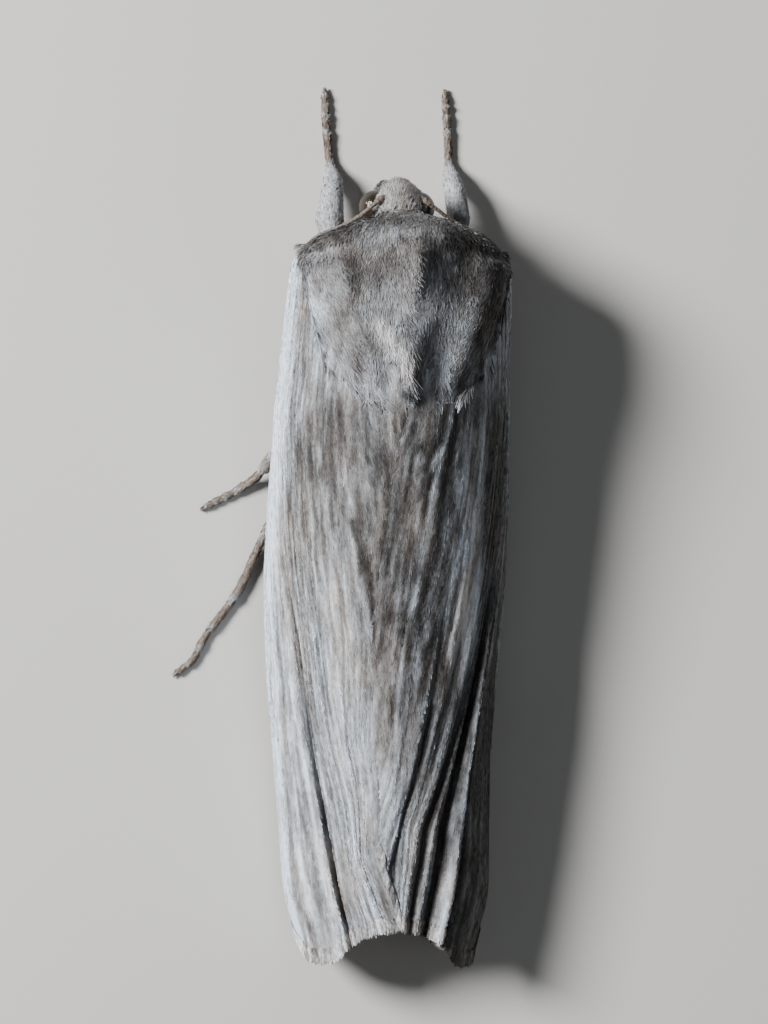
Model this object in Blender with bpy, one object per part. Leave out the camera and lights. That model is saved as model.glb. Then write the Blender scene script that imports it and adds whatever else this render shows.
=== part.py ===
"""A grey owlet moth at rest with its wings folded, life size.

Everything is worked out in millimetres in the moth's own frame and turned into metres as it is built.
x is towards the moth's left, s runs back from the tips of the palps to the wing tips, z is up from the floor.
Built, the head points along -Y, and the origin is the middle of the footprint's box, on the floor.
"""

import math

import bmesh
import bpy
from mathutils import Vector

MM = 0.001

# Driving dimensions, in millimetres.
GAP = 0.10  # clear space between neighbouring pieces
SHEET = 0.50  # thickness of a wing
WING_TIP = 28.25  # s of the forewing's apex
SHOULDER = 2.75  # s of the plane between the collar and the rest of the thorax
SCUTELLUM = 6.9  # s where the forewings' inner margins come together
ROOF_SIDE = 1.72  # how round the folded wings are across the top: 2 is an ellipse
ROOF_WALL = 2.3  # how upright they are at the sides
HEAD_ASIDE = 0.25  # how far the head is drawn to the moth's left of its body
EYE_RADIUS = 0.6
EYE_CENTRE = (0.78, 1.02, 3.3)
ANTENNA_RADIUS = 0.24

# The deep fold between a forewing's costal panel and the rest of it.
FOLD_FROM = 16.5
FOLD_PLACE = 0.645  # share of the way from the ridge to the costa, at s = FOLD_FROM
FOLD_DRIFT = 0.0265  # how much nearer to the ridge it comes with each millimetre back
FOLD_HALF_WIDTH = 0.032
FOLD_DEPTH = 0.62


def smooth(a, b, t):
    """0 below a, 1 above b, and a smooth step between them."""
    t = min(1.0, max(0.0, (t - a) / (b - a)))
    return t * t * (3 - 2 * t)


def track(*stations):
    """A smooth function of s through (s, value) stations, level beyond its ends."""

    def slope(i):
        if i in (0, len(stations) - 1):
            return 0.0
        (s0, v0), (s1, v1) = stations[i - 1], stations[i + 1]
        return (v1 - v0) / (s1 - s0)

    def value(s):
        if s <= stations[0][0]:
            return stations[0][1]
        if s >= stations[-1][0]:
            return stations[-1][1]
        i = next(i for i in range(len(stations) - 1) if s < stations[i + 1][0])
        (s0, v0), (s1, v1) = stations[i], stations[i + 1]
        h = s1 - s0
        t = (s - s0) / h
        return (
            v0 * (1 + 2 * t) * (1 - t) ** 2
            + slope(i) * h * t * (1 - t) ** 2
            + v1 * t * t * (3 - 2 * t)
            + slope(i + 1) * h * t * t * (t - 1)
        )

    return value


# The folded wings' outer surface: half its width, the height of its ridge and that of its lower edges.
half_width = track(
    (2.6, 3.9), (3.4, 4.02), (7.0, 4.2), (10.0, 4.34), (14.5, 4.38),
    (18.0, 4.18), (22.0, 3.9), (25.5, 3.78), (WING_TIP, 3.25),
)
# How far the hind parts of the wings lean to the moth's right.
sway = track((14.0, 0.0), (20.0, 0.12), (25.5, 0.5), (WING_TIP, 0.55))
ridge = track((2.0, 6.0), (5.0, 6.55), (9.0, 6.35), (15.0, 5.65), (22.0, 4.7), (WING_TIP, 3.9))
eaves = track((2.0, 3.1), (4.0, 2.75), (7.0, 1.95), (11.0, 1.4), (17.0, 1.0), (24.0, 0.62), (WING_TIP, 0.7))
# The right forewing's inner margin lies on the left forewing, this share of the way to the left costa.
seam = track(
    (SCUTELLUM, 0.0), (9.3, 0.07), (12.0, 0.13), (16.5, 0.185),
    (19.0, 0.18), (22.0, 0.145), (24.2, 0.165), (26.0, 0.16),
)
# Behind its inner angle, the right forewing's outer margin crosses back over the ridge.
crossing = track((24.2, 0.165), (25.1, 0.12), (26.2, 0.05), (26.85, 0.0))
# Where a forewing begins under the shoulder flap, and how far back it reaches, against that share.
wing_root = track(
    (0.0, SCUTELLUM), (0.2, 6.6), (0.34, 5.6), (0.5, 4.2), (0.66, 3.2), (0.85, 2.95), (1.0, 2.9)
)
root_share = track((2.9, 0.95), (3.2, 0.66), (4.2, 0.5), (5.6, 0.34), (6.6, 0.2), (SCUTELLUM, 0.0))
termen = track(
    (-0.165, 24.2), (-0.12, 25.1), (-0.05, 26.2), (0.0, 26.85), (0.16, 27.05), (0.3, 27.3), (0.39, 27.6),
    (0.48, 28.1), (0.6, WING_TIP), (0.8, 28.15), (1.0, 27.4),
)
# The anal groove, which parts the panel along the inner margin from the rest, and the vein inside that panel.
groove = track(
    (8.0, 0.38), (13.5, 0.3), (16.5, 0.235), (19.0, 0.18), (21.5, 0.106), (24.0, -0.04), (25.2, -0.115)
)
anal_vein = track(
    (7.9, 0.27), (11.0, 0.166), (14.5, 0.1), (16.5, 0.02), (20.0, -0.04), (24.0, -0.11), (25.2, -0.16)
)
fan_base = track((20.0, 0.0), (24.0, -0.01), (26.9, -0.06))


def envelope(s, v, out=0.0):
    """A point of the folded wings' outer surface, moved out along its normal.

    v runs from -1 at the right costa over 0 at the ridge to 1 at the left costa.
    """

    def base(s, v):
        angle = min(abs(v), 1.0) * math.pi / 2
        across = half_width(s) * math.sin(angle) ** (2 / ROOF_SIDE)
        up = max(math.cos(angle), 0.0) ** (2 / ROOF_WALL)
        return Vector((math.copysign(across, v) - sway(s), s, eaves(s) + (ridge(s) - eaves(s)) * up))

    point = base(s, v)
    if out:
        step = 0.01
        along = base(s + step, v) - base(s - step, v)
        over = base(s, min(v + step, 1.0)) - base(s, max(v - step, -1.0))
        point += along.cross(over).normalized() * -out
    return point


def fold_place(s):
    return min(0.86, FOLD_PLACE - FOLD_DRIFT * (s - FOLD_FROM))


def wing_lines(side, s):
    """A forewing's lengthwise ridges and furrows at s, from its inner margin to its costa.

    Each is (share of the way from the ridge to the wing's own costa, height above the envelope).
    The right forewing lies on top: it carries the open groove, and the left one's margin is tucked under it.
    """
    free = smooth(7.2, 11.0, s)
    opened = smooth(13.0, 20.0, s)
    right = side < 0
    margin = 0.018 + (-seam(s) if right else min(seam(s), crossing(s)))
    vein = max(margin + 0.03, anal_vein(s))
    lip = max(vein + 0.03, groove(s))
    foot = lip + 0.026
    crest = fold_place(s) - FOLD_HALF_WIDTH
    lines = [
        (margin, 0.12 * free if right else -0.2 * free),
        (vein, 0.2 * free if right else 0.02 * free),
        (lip, 0.16 * opened if right else 0.05 * opened),
        (foot, -0.26 * opened if right else -0.05 * opened),
    ]
    # The furrows between the veins fan out from the middle of the fold towards the outer margin.
    depth = opened if right else 0.45 * opened
    spread = smooth(17.0, 26.0, s)
    base = max(foot, fan_base(s))
    for front, rear, height in (
        (0.2, 0.08, 0.0), (0.4, 0.17, 0.05), (0.58, 0.27, 0.08), (0.69, 0.38, -0.26),
        (0.8, 0.54, 0.05), (0.89, 0.71, -0.18),
    ):
        share = front + (rear - front) * spread
        lines.append((base + (crest - base) * share, height * depth))
    lines.append((crest, 0.1 * opened))
    lines.append((fold_place(s), -FOLD_DEPTH * smooth(14.0, 21.0, s)))
    outer = fold_place(s) + FOLD_HALF_WIDTH
    for i in range(5):
        lines.append((outer + (1 - outer) * i / 4, 0.05 * math.sin(math.pi * i / 4)))
    return lines


def line_end(side, index):
    """The s at which a wing line reaches the outer margin, found by halving."""
    low, high = 20.0, 29.0
    for _ in range(20):
        s = (low + high) / 2
        if s < termen(wing_lines(side, s)[index][0]):
            low = s
        else:
            high = s
    return low


def new_object(name, mesh, material):
    mesh.materials.append(material)
    obj = bpy.data.objects.new(name, mesh)
    bpy.context.scene.collection.objects.link(obj)
    return obj


def finish_mesh(name, bm, material):
    """Closes a bmesh built in millimetres into a smooth-shaded object in metres."""
    bmesh.ops.recalc_face_normals(bm, faces=bm.faces)
    bmesh.ops.scale(bm, vec=(MM, MM, MM), verts=bm.verts)
    mesh = bpy.data.meshes.new(name)
    bm.to_mesh(mesh)
    bm.free()
    mesh.shade_smooth()
    mesh.set_sharp_from_angle(angle=math.radians(50))
    return new_object(name, mesh, material)


def sheet(name, material, outer, inner):
    """A closed solid between two grids of points that have the same rows and columns."""
    bm = bmesh.new()
    grids = [[[bm.verts.new(p) for p in row] for row in grid] for grid in (outer, inner)]
    rows, columns = len(outer), len(outer[0])
    for grid in grids:
        for r in range(rows - 1):
            for c in range(columns - 1):
                bm.faces.new((grid[r][c], grid[r][c + 1], grid[r + 1][c + 1], grid[r + 1][c]))
    edge = [(0, c) for c in range(columns)]
    edge += [(r, columns - 1) for r in range(1, rows)]
    edge += [(rows - 1, c) for c in range(columns - 2, -1, -1)]
    edge += [(r, 0) for r in range(rows - 2, 0, -1)]
    for (r0, c0), (r1, c1) in zip(edge, edge[1:] + edge[:1]):
        bm.faces.new((grids[0][r0][c0], grids[0][r1][c1], grids[1][r1][c1], grids[1][r0][c0]))
    return finish_mesh(name, bm, material)


def loft(name, material, rings):
    """A closed solid through rings of points, each of the same number, with a face on each end."""
    bm = bmesh.new()
    loops = [[bm.verts.new(p) for p in ring] for ring in rings]
    count = len(rings[0])
    for a, b in zip(loops, loops[1:]):
        for i in range(count):
            j = (i + 1) % count
            bm.faces.new((a[i], a[j], b[j], b[i]))
    for loop in (loops[0], loops[-1]):
        middle = bm.verts.new(sum((v.co for v in loop), Vector()) / count)
        for i in range(count):
            bm.faces.new((loop[i], loop[(i + 1) % count], middle))
    return finish_mesh(name, bm, material)


def oval(x_half, top, bottom, widest, sides, side_power=2.0, end_power=2.0):
    """(x, z) points of an egg-shaped section, from its top over the left side round to the top."""
    points = []
    for i in range(sides):
        angle = 2 * math.pi * i / sides
        sine, cosine = math.sin(angle), math.cos(angle)
        x = math.copysign(abs(sine) ** (2 / side_power), sine) * x_half
        reach = top - widest if cosine > 0 else widest - bottom
        z = widest + math.copysign(abs(cosine) ** (2 / end_power), cosine) * reach
        points.append((x, z))
    return points


def swollen_copy(obj, by):
    """A hidden copy of obj, larger by that many millimetres all over, to part a neighbour with."""
    copy = obj.copy()
    copy.data = obj.data.copy()
    copy.name = obj.name + "_cutter"
    bpy.context.scene.collection.objects.link(copy)
    grow = copy.modifiers.new("Grow", "DISPLACE")
    grow.strength = by * MM
    grow.mid_level = 0.0
    copy.hide_render = True
    copy.display_type = "WIRE"
    return copy


def part_from(obj, *cutters):
    """Cuts obj back so that it keeps clear of the pieces that the cutters were swollen from."""
    for cutter in cutters:
        cut = obj.modifiers.new("Part", "BOOLEAN")
        cut.operation = "DIFFERENCE"
        cut.solver = "EXACT"
        cut.object = cutter


def material(name, colour, roughness):
    made = bpy.data.materials.new(name)
    made.use_nodes = True
    shader = made.node_tree.nodes["Principled BSDF"]
    shader.inputs["Base Color"].default_value = (*colour, 1)
    shader.inputs["Roughness"].default_value = roughness
    shader.inputs["Metallic"].default_value = 0.0
    return made


def forewing(name, colour, side):
    """One forewing: a pleated sheet from the thorax to the slanting outer margin."""
    rows = 20
    outer, inner = [], []
    starts = [wing_root(share) for share, _ in wing_lines(side, 5.0)]
    ends = [line_end(side, i) for i in range(len(starts))]
    for r in range(rows + 1):
        outer.append([])
        inner.append([])
        for c, (start, end) in enumerate(zip(starts, ends)):
            s = start + (end - start) * r / rows
            lines = wing_lines(side, s)
            v = side * lines[c][0]
            # The underside bridges the furrows, so that the sheet keeps its thickness.
            under = min(height for _, height in lines[max(0, c - 1) : c + 2])
            outer[-1].append(envelope(s, v, lines[c][1]))
            inner[-1].append(envelope(s, v, under - SHEET))
    return sheet(name, colour, outer, inner)


def hindwing(name, colour, side):
    """A hindwing folded under the forewing, down its side to about half its height."""
    rows, columns = 11, 7
    near, far = 0.08, 0.70
    first = 8.0
    outer, inner = [], []
    for r in range(rows + 1):
        t = r / rows
        outer.append([])
        inner.append([])
        for c in range(columns + 1):
            u = c / columns
            end = 21.0 + 2.6 * math.sin(math.pi * (0.15 + 0.7 * u))
            s = first + (end - first) * t
            spread = 0.72 + 0.28 * math.sin(math.pi * (0.2 + 0.6 * t))
            v = side * (near + (far - near) * u * spread)
            out = -0.32 - SHEET - GAP - (FOLD_DEPTH - 0.2) * smooth(13.0, 19.0, s)
            outer[-1].append(envelope(s, v, out))
            inner[-1].append(envelope(s, v, out - SHEET))
    return sheet(name, colour, outer, inner)


def pad(name, colour, s_range, v_range, height, rows=10, columns=6):
    """A furry flap that lies on the envelope. v_range and height are functions of the share t along it."""
    outer, inner = [], []
    for r in range(rows + 1):
        t = r / rows
        s = s_range[0] + (s_range[1] - s_range[0]) * t
        low, high = v_range(t)
        outer.append([])
        inner.append([])
        for c in range(columns + 1):
            u = c / columns
            v = low + (high - low) * u
            rise = height(t) * (0.25 + 0.75 * math.sin(math.pi * (0.08 + 0.84 * u)))
            outer[-1].append(envelope(s, v, GAP + rise))
            inner[-1].append(envelope(s, v, GAP))
    return sheet(name, colour, outer, inner)


def tegula(name, colour, side):
    """The shoulder flap over the root of a forewing, broad in front and drawn to a point behind."""

    def v_range(t):
        low = 0.44 - 0.25 * smooth(0.0, 1.0, t)
        high = 0.87 - 0.48 * t**0.8 - 0.14 * smooth(0.75, 1.0, t)
        return (side * low, side * high)

    def height(t):
        return 0.12 + 0.2 * math.sin(math.pi * (0.15 + 0.7 * t))

    return pad(name, colour, (2.87, 7.9), v_range, height, rows=10, columns=6)


def crest_height(s, x):
    """The hood over the head and the low ridge behind it, above the thorax's round back."""
    hood = 1.1 * math.exp(-(((s - 2.9) / 1.05) ** 2))
    back = 0.32 * math.exp(-(((s - 5.2) / 1.5) ** 2))
    return (hood + back) * math.exp(-((abs(x) / 0.85) ** 1.7))


def thorax_section(s, sides=30):
    """A ring of the thorax at s: its back fills the envelope between the wing roots, and lies under them."""
    under_wing = SHEET + GAP + 0.42
    bottom = 1.55
    root = root_share(s)
    ring = []
    for i in range(sides):
        angle = 4 * i / sides  # in quarter turns, from the top over the left side
        v = angle if angle <= 2 else angle - 4
        if abs(v) <= 1:
            inset = 0.04 + under_wing * smooth(root - 0.18, root - 0.06, abs(v))
            point = envelope(s, v, -inset)
            point.z += crest_height(s, point.x)
        else:
            side = envelope(s, math.copysign(1.0, v), -0.04 - under_wing)
            turn = (2 - abs(v)) * math.pi / 2
            z = bottom + (side.z - bottom) * (1 - math.cos(turn))
            point = Vector((side.x * math.sin(turn), s, z))
        ring.append(Vector((point.x, s, point.z)))
    return ring


def thorax(name, colour):
    first, last, steps = SHOULDER + GAP, 7.55, 12
    rings = [thorax_section(first + (last - first) * i / steps) for i in range(steps + 1)]
    return loft(name, colour, rings)


def collar(name, colour):
    """The ring behind the head: bowed in front, flat behind, with an upper edge that rises into a hood."""
    middle, sides = 3.3, 24
    rings = []
    for back, wide, high in (
        (0.0, 0.8, 0.66), (0.1, 0.9, 0.79), (0.3, 0.96, 0.9), (0.6, 0.985, 0.965), (1.0, 1.0, 1.0)
    ):
        ring = []
        top = middle + 2.85 * high
        bottom = middle - 1.65 * (0.55 + 0.45 * high)
        for x, z in oval(3.86 * wide, top, bottom, middle, sides, 1.8, 2.2):
            bowed = 1.15 + 1.2 * (x / 3.6) ** 2
            s = bowed + (SHOULDER - bowed) * back
            lift = crest_height(s, x) * (0.75 + 0.25 * back) if z > middle else 0.0
            ring.append(Vector((x, s, z + lift)))
        rings.append(ring)
    return loft(name, colour, rings)


def head(name, colour):
    """The head, furry in front and above, set into the collar's bowed face."""
    width = track((-0.02, 0.48), (0.25, 0.8), (0.65, 1.02), (1.05, 1.14))
    top = track((-0.02, 4.0), (0.25, 4.5), (0.65, 4.9), (1.05, 5.05))
    bottom = track((-0.02, 3.0), (0.25, 2.65), (0.65, 2.35), (1.05, 2.3))
    rings = []
    for s in (-0.02, 0.08, 0.25, 0.48, 0.76, 1.05):
        section = [
            (x + HEAD_ASIDE, z) for x, z in oval(width(s), top(s), bottom(s), 3.45, 20, end_power=2.15)
        ]
        rings.append([Vector((x, s + 0.085 * x * x * smooth(0.2, 1.05, s), z)) for x, z in section])
    return loft(name, colour, rings)


def abdomen(name, colour):
    width = track((7.65, 2.0), (10.0, 2.25), (14.0, 2.05), (18.0, 1.5), (20.6, 0.95), (21.8, 0.45))
    top = track((7.65, 4.65), (10.0, 4.55), (14.0, 3.95), (18.0, 3.2), (20.6, 2.65), (21.8, 2.2))
    bottom = track((7.65, 1.8), (10.0, 1.5), (14.0, 1.25), (18.0, 1.15), (20.6, 1.2), (21.8, 1.45))
    first, last, steps = 7.65, 21.8, 16
    rings = []
    for i in range(steps + 1):
        s = first + (last - first) * i / steps
        # Each body ring is a little fuller at its hind edge.
        ripple = 1 + 0.025 * math.cos(math.pi * i)
        middle = top(s) * 0.45 + bottom(s) * 0.55
        section = oval(width(s) * ripple, top(s), bottom(s), middle, 14)
        rings.append([Vector((x, s, z)) for x, z in section])
    return loft(name, colour, rings)


def eye(name, colour, side):
    bm = bmesh.new()
    bmesh.ops.create_uvsphere(bm, u_segments=16, v_segments=10, radius=EYE_RADIUS)
    x, s, z = EYE_CENTRE
    bmesh.ops.translate(bm, vec=(side * x + HEAD_ASIDE, s, z), verts=bm.verts)
    return finish_mesh(name, bm, colour)


def through(points, per_span):
    """Points of a smooth curve (Catmull-Rom) through the given ones."""
    ends = [2 * points[0] - points[1], *points, 2 * points[-1] - points[-2]]
    curve = []
    for a, b, c, d in zip(ends, ends[1:], ends[2:], ends[3:]):
        for i in range(per_span):
            t = i / per_span
            bend = (2 * a - 5 * b + 4 * c - d) * t**2 + (3 * b - a - 3 * c + d) * t**3
            curve.append(0.5 * (2 * b + (c - a) * t + bend))
    return curve + [points[-1]]


def limb(name, colour, joints, sides=8, per_span=3):
    """A tapering tube through joints of (x, s, z, radius), with a flat where it meets the floor."""
    line = through([Vector(j) for j in joints], per_span)
    places = [Vector(p[:3]) for p in line]
    radii = [p[3] for p in line]
    ahead = [(b - a).normalized() for a, b in zip(places, places[1:])]
    ahead.append(ahead[-1])
    first = places[0] - ahead[0] * radii[0] * 0.6
    last = places[-1] + ahead[-1] * radii[-1] * 0.6
    places = [first, *places, last]
    radii = [radii[0] * 0.55, *radii, radii[-1] * 0.55]
    ahead = [ahead[0], *ahead, ahead[-1]]
    right = ahead[0].cross(Vector((0, 0, 1))).normalized()
    rings = []
    for place, radius, way in zip(places, radii, ahead):
        right = (right - way * right.dot(way)).normalized()
        up = right.cross(way)
        ring = []
        for i in range(sides):
            angle = 2 * math.pi * (i + 0.5) / sides
            point = place + radius * (right * math.cos(angle) + up * math.sin(angle))
            ring.append(Vector((point.x, point.y, max(point.z, 0.0))))
        rings.append(ring)
    return loft(name, colour, rings)


# Each leg's joints: hip, knee, ankle and foot, as (x on the moth's left, s, z, radius).
LEGS = {
    "leg_front_left": [
        (0.95, 4.3, 1.85, 0.62), (1.9, 3.0, 1.3, 0.5), (2.33, 1.8, 1.3, 0.58),
        (2.26, 0.7, 1.0, 0.45), (2.2, 0.0, 0.74, 0.37), (2.23, -0.6, 0.46, 0.27),
        (2.34, -1.4, 0.26, 0.25), (2.43, -2.3, 0.2, 0.25), (2.5, -3.3, 0.19, 0.22),
    ],
    "leg_front_right": [
        (-0.95, 4.3, 1.85, 0.62), (-1.75, 2.9, 1.3, 0.5), (-2.32, 1.6, 1.3, 0.46),
        (-2.3, 0.5, 1.0, 0.42), (-2.2, -0.2, 0.7, 0.36), (-2.15, -0.8, 0.42, 0.27),
        (-2.1, -1.6, 0.26, 0.25), (-2.02, -2.5, 0.2, 0.25), (-1.94, -3.4, 0.19, 0.22),
    ],
    "leg_middle_left": [
        (0.95, 5.4, 1.75, 0.5), (2.3, 7.2, 1.05, 0.42), (3.4, 9.0, 0.9, 0.36),
        (4.45, 10.6, 0.72, 0.34), (5.15, 11.25, 0.42, 0.28), (5.85, 11.65, 0.22, 0.25),
        (6.5, 12.02, 0.2, 0.22),
    ],
    "leg_middle_right": [
        (-0.95, 5.4, 1.75, 0.5), (-2.2, 7.3, 1.05, 0.42), (-3.1, 9.2, 0.9, 0.36),
        (-3.75, 10.8, 0.68, 0.34), (-3.95, 11.8, 0.38, 0.28), (-3.95, 12.6, 0.22, 0.25),
        (-3.85, 13.4, 0.2, 0.22),
    ],
    "leg_hind_left": [
        (0.85, 6.95, 1.75, 0.48), (1.85, 8.9, 0.95, 0.42), (3.1, 11.0, 0.75, 0.34),
        (4.25, 12.9, 0.62, 0.32), (5.15, 15.0, 0.42, 0.29), (6.25, 16.6, 0.24, 0.26),
        (6.72, 17.5, 0.2, 0.24), (7.35, 18.05, 0.2, 0.21),
    ],
    "leg_hind_right": [
        (-0.85, 6.95, 1.75, 0.48), (-1.75, 9.2, 0.95, 0.42), (-2.35, 11.7, 0.75, 0.34),
        (-2.8, 14.0, 0.55, 0.32), (-3.2, 15.9, 0.32, 0.28), (-3.5, 17.2, 0.22, 0.25),
        (-3.85, 18.5, 0.2, 0.22),
    ],
}


def antenna(name, colour, side):
    """A feeler from beside the eye, close along the collar's front edge and in under the wing."""
    r = ANTENNA_RADIUS
    joints = [
        (0.72, 0.6, 4.72, r * 1.2), (1.2, 0.8, 4.66, r), (1.8, 1.16, 4.36, r),
        (2.5, 1.52, 3.8, r), (3.15, 2.0, 3.1, r), (3.58, 2.7, 2.42, r),
        (3.6, 3.7, 1.98, r), (3.5, 4.9, 1.76, r), (3.42, 6.4, 1.62, r), (3.35, 8.2, 1.7, r * 0.95),
    ]
    line = [
        (side * x + HEAD_ASIDE * (1 - smooth(0.6, 2.0, s)), s, z, radius) for x, s, z, radius in joints
    ]
    return limb(name, colour, line, sides=6)


def palp(name, colour, side):
    """A lip feeler, curved up in front of the face."""
    joints = [
        (0.36, 0.95, 1.95, 0.28), (0.38, 0.45, 1.95, 0.35), (0.38, 0.12, 2.3, 0.37), (0.36, -0.08, 2.75, 0.3)
    ]
    line = [(side * x + HEAD_ASIDE, s, z, radius) for x, s, z, radius in joints]
    return limb(name, colour, line, per_span=2)


def centre_on_floor(objects):
    """Moves all the pieces together, so that the origin is the middle of the footprint's box."""
    bpy.context.view_layer.update()
    graph = bpy.context.evaluated_depsgraph_get()
    corners = []
    for obj in objects:
        shape = obj.evaluated_get(graph)
        corners += [shape.matrix_world @ Vector(c) for c in shape.bound_box]
    low = Vector(min(c[i] for c in corners) for i in range(3))
    high = Vector(max(c[i] for c in corners) for i in range(3))
    middle = (low + high) / 2
    for obj in bpy.data.objects:
        obj.location -= Vector((middle.x, middle.y, low.z))


def main():
    for obj in list(bpy.data.objects):
        bpy.data.objects.remove(obj)

    wing_grey = material("wing_scales", (0.42, 0.41, 0.40), 0.75)
    under_grey = material("hindwing_scales", (0.36, 0.33, 0.30), 0.7)
    fur_grey = material("body_fur", (0.38, 0.37, 0.36), 0.85)
    leg_grey = material("leg_scales", (0.40, 0.36, 0.31), 0.8)
    feeler_brown = material("feeler", (0.22, 0.17, 0.13), 0.7)
    eye_dark = material("eye", (0.03, 0.025, 0.02), 0.2)

    pieces = []
    trunk = thorax("thorax", fur_grey)
    neck = collar("collar", fur_grey)
    face = head("head", fur_grey)
    belly = abdomen("abdomen", fur_grey)
    crest = pad(
        "thorax_crest", fur_grey, (5.0, 7.6), lambda t: (-0.15 + 0.12 * t, 0.15 - 0.12 * t),
        lambda t: 0.2 + 0.55 * math.sin(math.pi * (0.05 + 0.8 * t)), rows=8, columns=6,
    )
    pieces += [trunk, neck, face, belly, crest]
    for obj in (trunk, face, belly, neck):
        swollen_copy(obj, GAP)
    part_from(crest, bpy.data.objects["thorax_cutter"])

    for word, side in (("left", 1), ("right", -1)):
        pieces.append(forewing(f"forewing_{word}", wing_grey, side))
        pieces.append(hindwing(f"hindwing_{word}", under_grey, side))
        pieces.append(tegula(f"tegula_{word}", fur_grey, side))
        eyeball = eye(f"eye_{word}", eye_dark, side)
        socket = swollen_copy(eyeball, GAP)
        part_from(face, socket)
        part_from(neck, socket)
        feeler = antenna(f"antenna_{word}", feeler_brown, side)
        lip = palp(f"palp_{word}", leg_grey, side)
        for obj in (feeler, lip):
            part_from(obj, bpy.data.objects["head_cutter"], bpy.data.objects["collar_cutter"])
        pieces += [eyeball, feeler, lip]
    for name, joints in LEGS.items():
        leg = limb(name, leg_grey, joints)
        part_from(leg, *(bpy.data.objects[f"{body}_cutter"] for body in ("thorax", "abdomen", "collar")))
        pieces.append(leg)
    centre_on_floor(pieces)


main()
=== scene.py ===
"""The looks of the grey owlet moth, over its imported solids.

Lengths are in millimetres in the moth's own frame, as in the solids: x is towards its left, s runs back
from the tips of the palps to the wing tips, and z is up. Pieces are turned into metres as they are made.
"""

import math

import bmesh
import bpy
import numpy as np
from mathutils import Matrix, Vector


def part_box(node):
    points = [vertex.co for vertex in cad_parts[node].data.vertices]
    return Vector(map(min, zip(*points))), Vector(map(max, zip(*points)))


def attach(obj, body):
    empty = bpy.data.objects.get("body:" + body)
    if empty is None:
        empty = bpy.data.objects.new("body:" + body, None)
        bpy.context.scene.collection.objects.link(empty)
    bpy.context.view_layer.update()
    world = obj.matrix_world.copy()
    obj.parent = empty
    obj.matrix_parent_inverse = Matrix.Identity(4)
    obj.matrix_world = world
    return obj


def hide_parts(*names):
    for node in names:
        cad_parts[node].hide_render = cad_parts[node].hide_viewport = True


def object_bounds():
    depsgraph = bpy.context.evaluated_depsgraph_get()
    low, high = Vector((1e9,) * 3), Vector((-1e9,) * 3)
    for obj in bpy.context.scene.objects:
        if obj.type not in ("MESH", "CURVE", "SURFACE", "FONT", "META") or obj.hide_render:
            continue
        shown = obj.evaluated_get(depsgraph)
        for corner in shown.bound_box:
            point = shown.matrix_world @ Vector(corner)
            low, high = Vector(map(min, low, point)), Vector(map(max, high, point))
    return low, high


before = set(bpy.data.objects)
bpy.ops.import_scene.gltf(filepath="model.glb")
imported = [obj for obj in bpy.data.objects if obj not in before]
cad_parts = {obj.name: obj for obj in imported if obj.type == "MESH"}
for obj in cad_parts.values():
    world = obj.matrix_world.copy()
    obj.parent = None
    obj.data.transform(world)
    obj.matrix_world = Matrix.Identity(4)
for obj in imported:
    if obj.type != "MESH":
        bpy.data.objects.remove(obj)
CAD_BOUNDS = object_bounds()
MM = 0.001

# The moth's frame is found from its eyes, which the solids put here.
HEAD_ASIDE = 0.25  # how far the head is drawn to the moth's left of its body
EYE_S = 1.02
EYE_HEIGHT = 3.3
EYE_ASIDE = 0.78
EYE_RADIUS = 0.6
EYES = [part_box("eye_left"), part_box("eye_right")]
ORIGIN = np.array([
    (EYES[0][1].x + EYES[1][0].x) / 2 - HEAD_ASIDE * MM,
    (EYES[0][0].y + EYES[0][1].y) / 2 - EYE_S * MM,
    0.0,
])
EYE_MIDDLES = [np.array([hand * EYE_ASIDE + HEAD_ASIDE, EYE_S, EYE_HEIGHT]) for hand in (-1, 1)]

# The folded wings, as in the solids.
SHEET = 0.5
WING_TIP = 28.25
SCUTELLUM = 6.9
ROOF_SIDE = 1.72
ROOF_WALL = 2.3
FOLD_FROM = 16.5
FOLD_PLACE = 0.645
FOLD_DRIFT = 0.0265
FOLD_HALF_WIDTH = 0.032
FOLD_DEPTH = 0.62
FLAP_FROM = 2.87  # where the shoulder flaps begin
FLAP_LENGTH = 5.03

# What the coat adds.
SCALE_DEPTH = 0.05  # how far the membrane lies under the outline of the scales
MEMBRANE = 0.09  # its thickness
FRINGE = 0.2  # length of the fringe along the outer margin
FUR_DEPTH = 0.16  # how far the skin lies under the outline of the fur
WING_ACROSS = 5.6  # from the ridge to the costa, over the curve

RANDOM = np.random.default_rng(11)


# ---- functions of the moth's shape ----


def smooth(a, b, t):
    """0 below a, 1 above b, and a smooth step between them."""
    t = np.clip((t - a) / (b - a), 0.0, 1.0)
    return t * t * (3 - 2 * t)


def hump(middle, width, t):
    """1 at the middle, and next to nothing two widths away."""
    return np.exp(-(((t - middle) / width) ** 2))


def track(*stations):
    """A smooth function of s through (s, value) stations, level beyond its ends."""
    at = np.array([s for s, _ in stations])
    level = np.array([v for _, v in stations])
    slope = np.zeros(len(at))
    slope[1:-1] = (level[2:] - level[:-2]) / (at[2:] - at[:-2])

    def value(s):
        s = np.clip(s, at[0], at[-1])
        i = np.clip(np.searchsorted(at, s, side="right") - 1, 0, len(at) - 2)
        h = at[i + 1] - at[i]
        t = (s - at[i]) / h
        near = level[i] * (1 + 2 * t) * (1 - t) ** 2 + slope[i] * h * t * (1 - t) ** 2
        return near + level[i + 1] * t * t * (3 - 2 * t) + slope[i + 1] * h * t * t * (t - 1)

    return value


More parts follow.
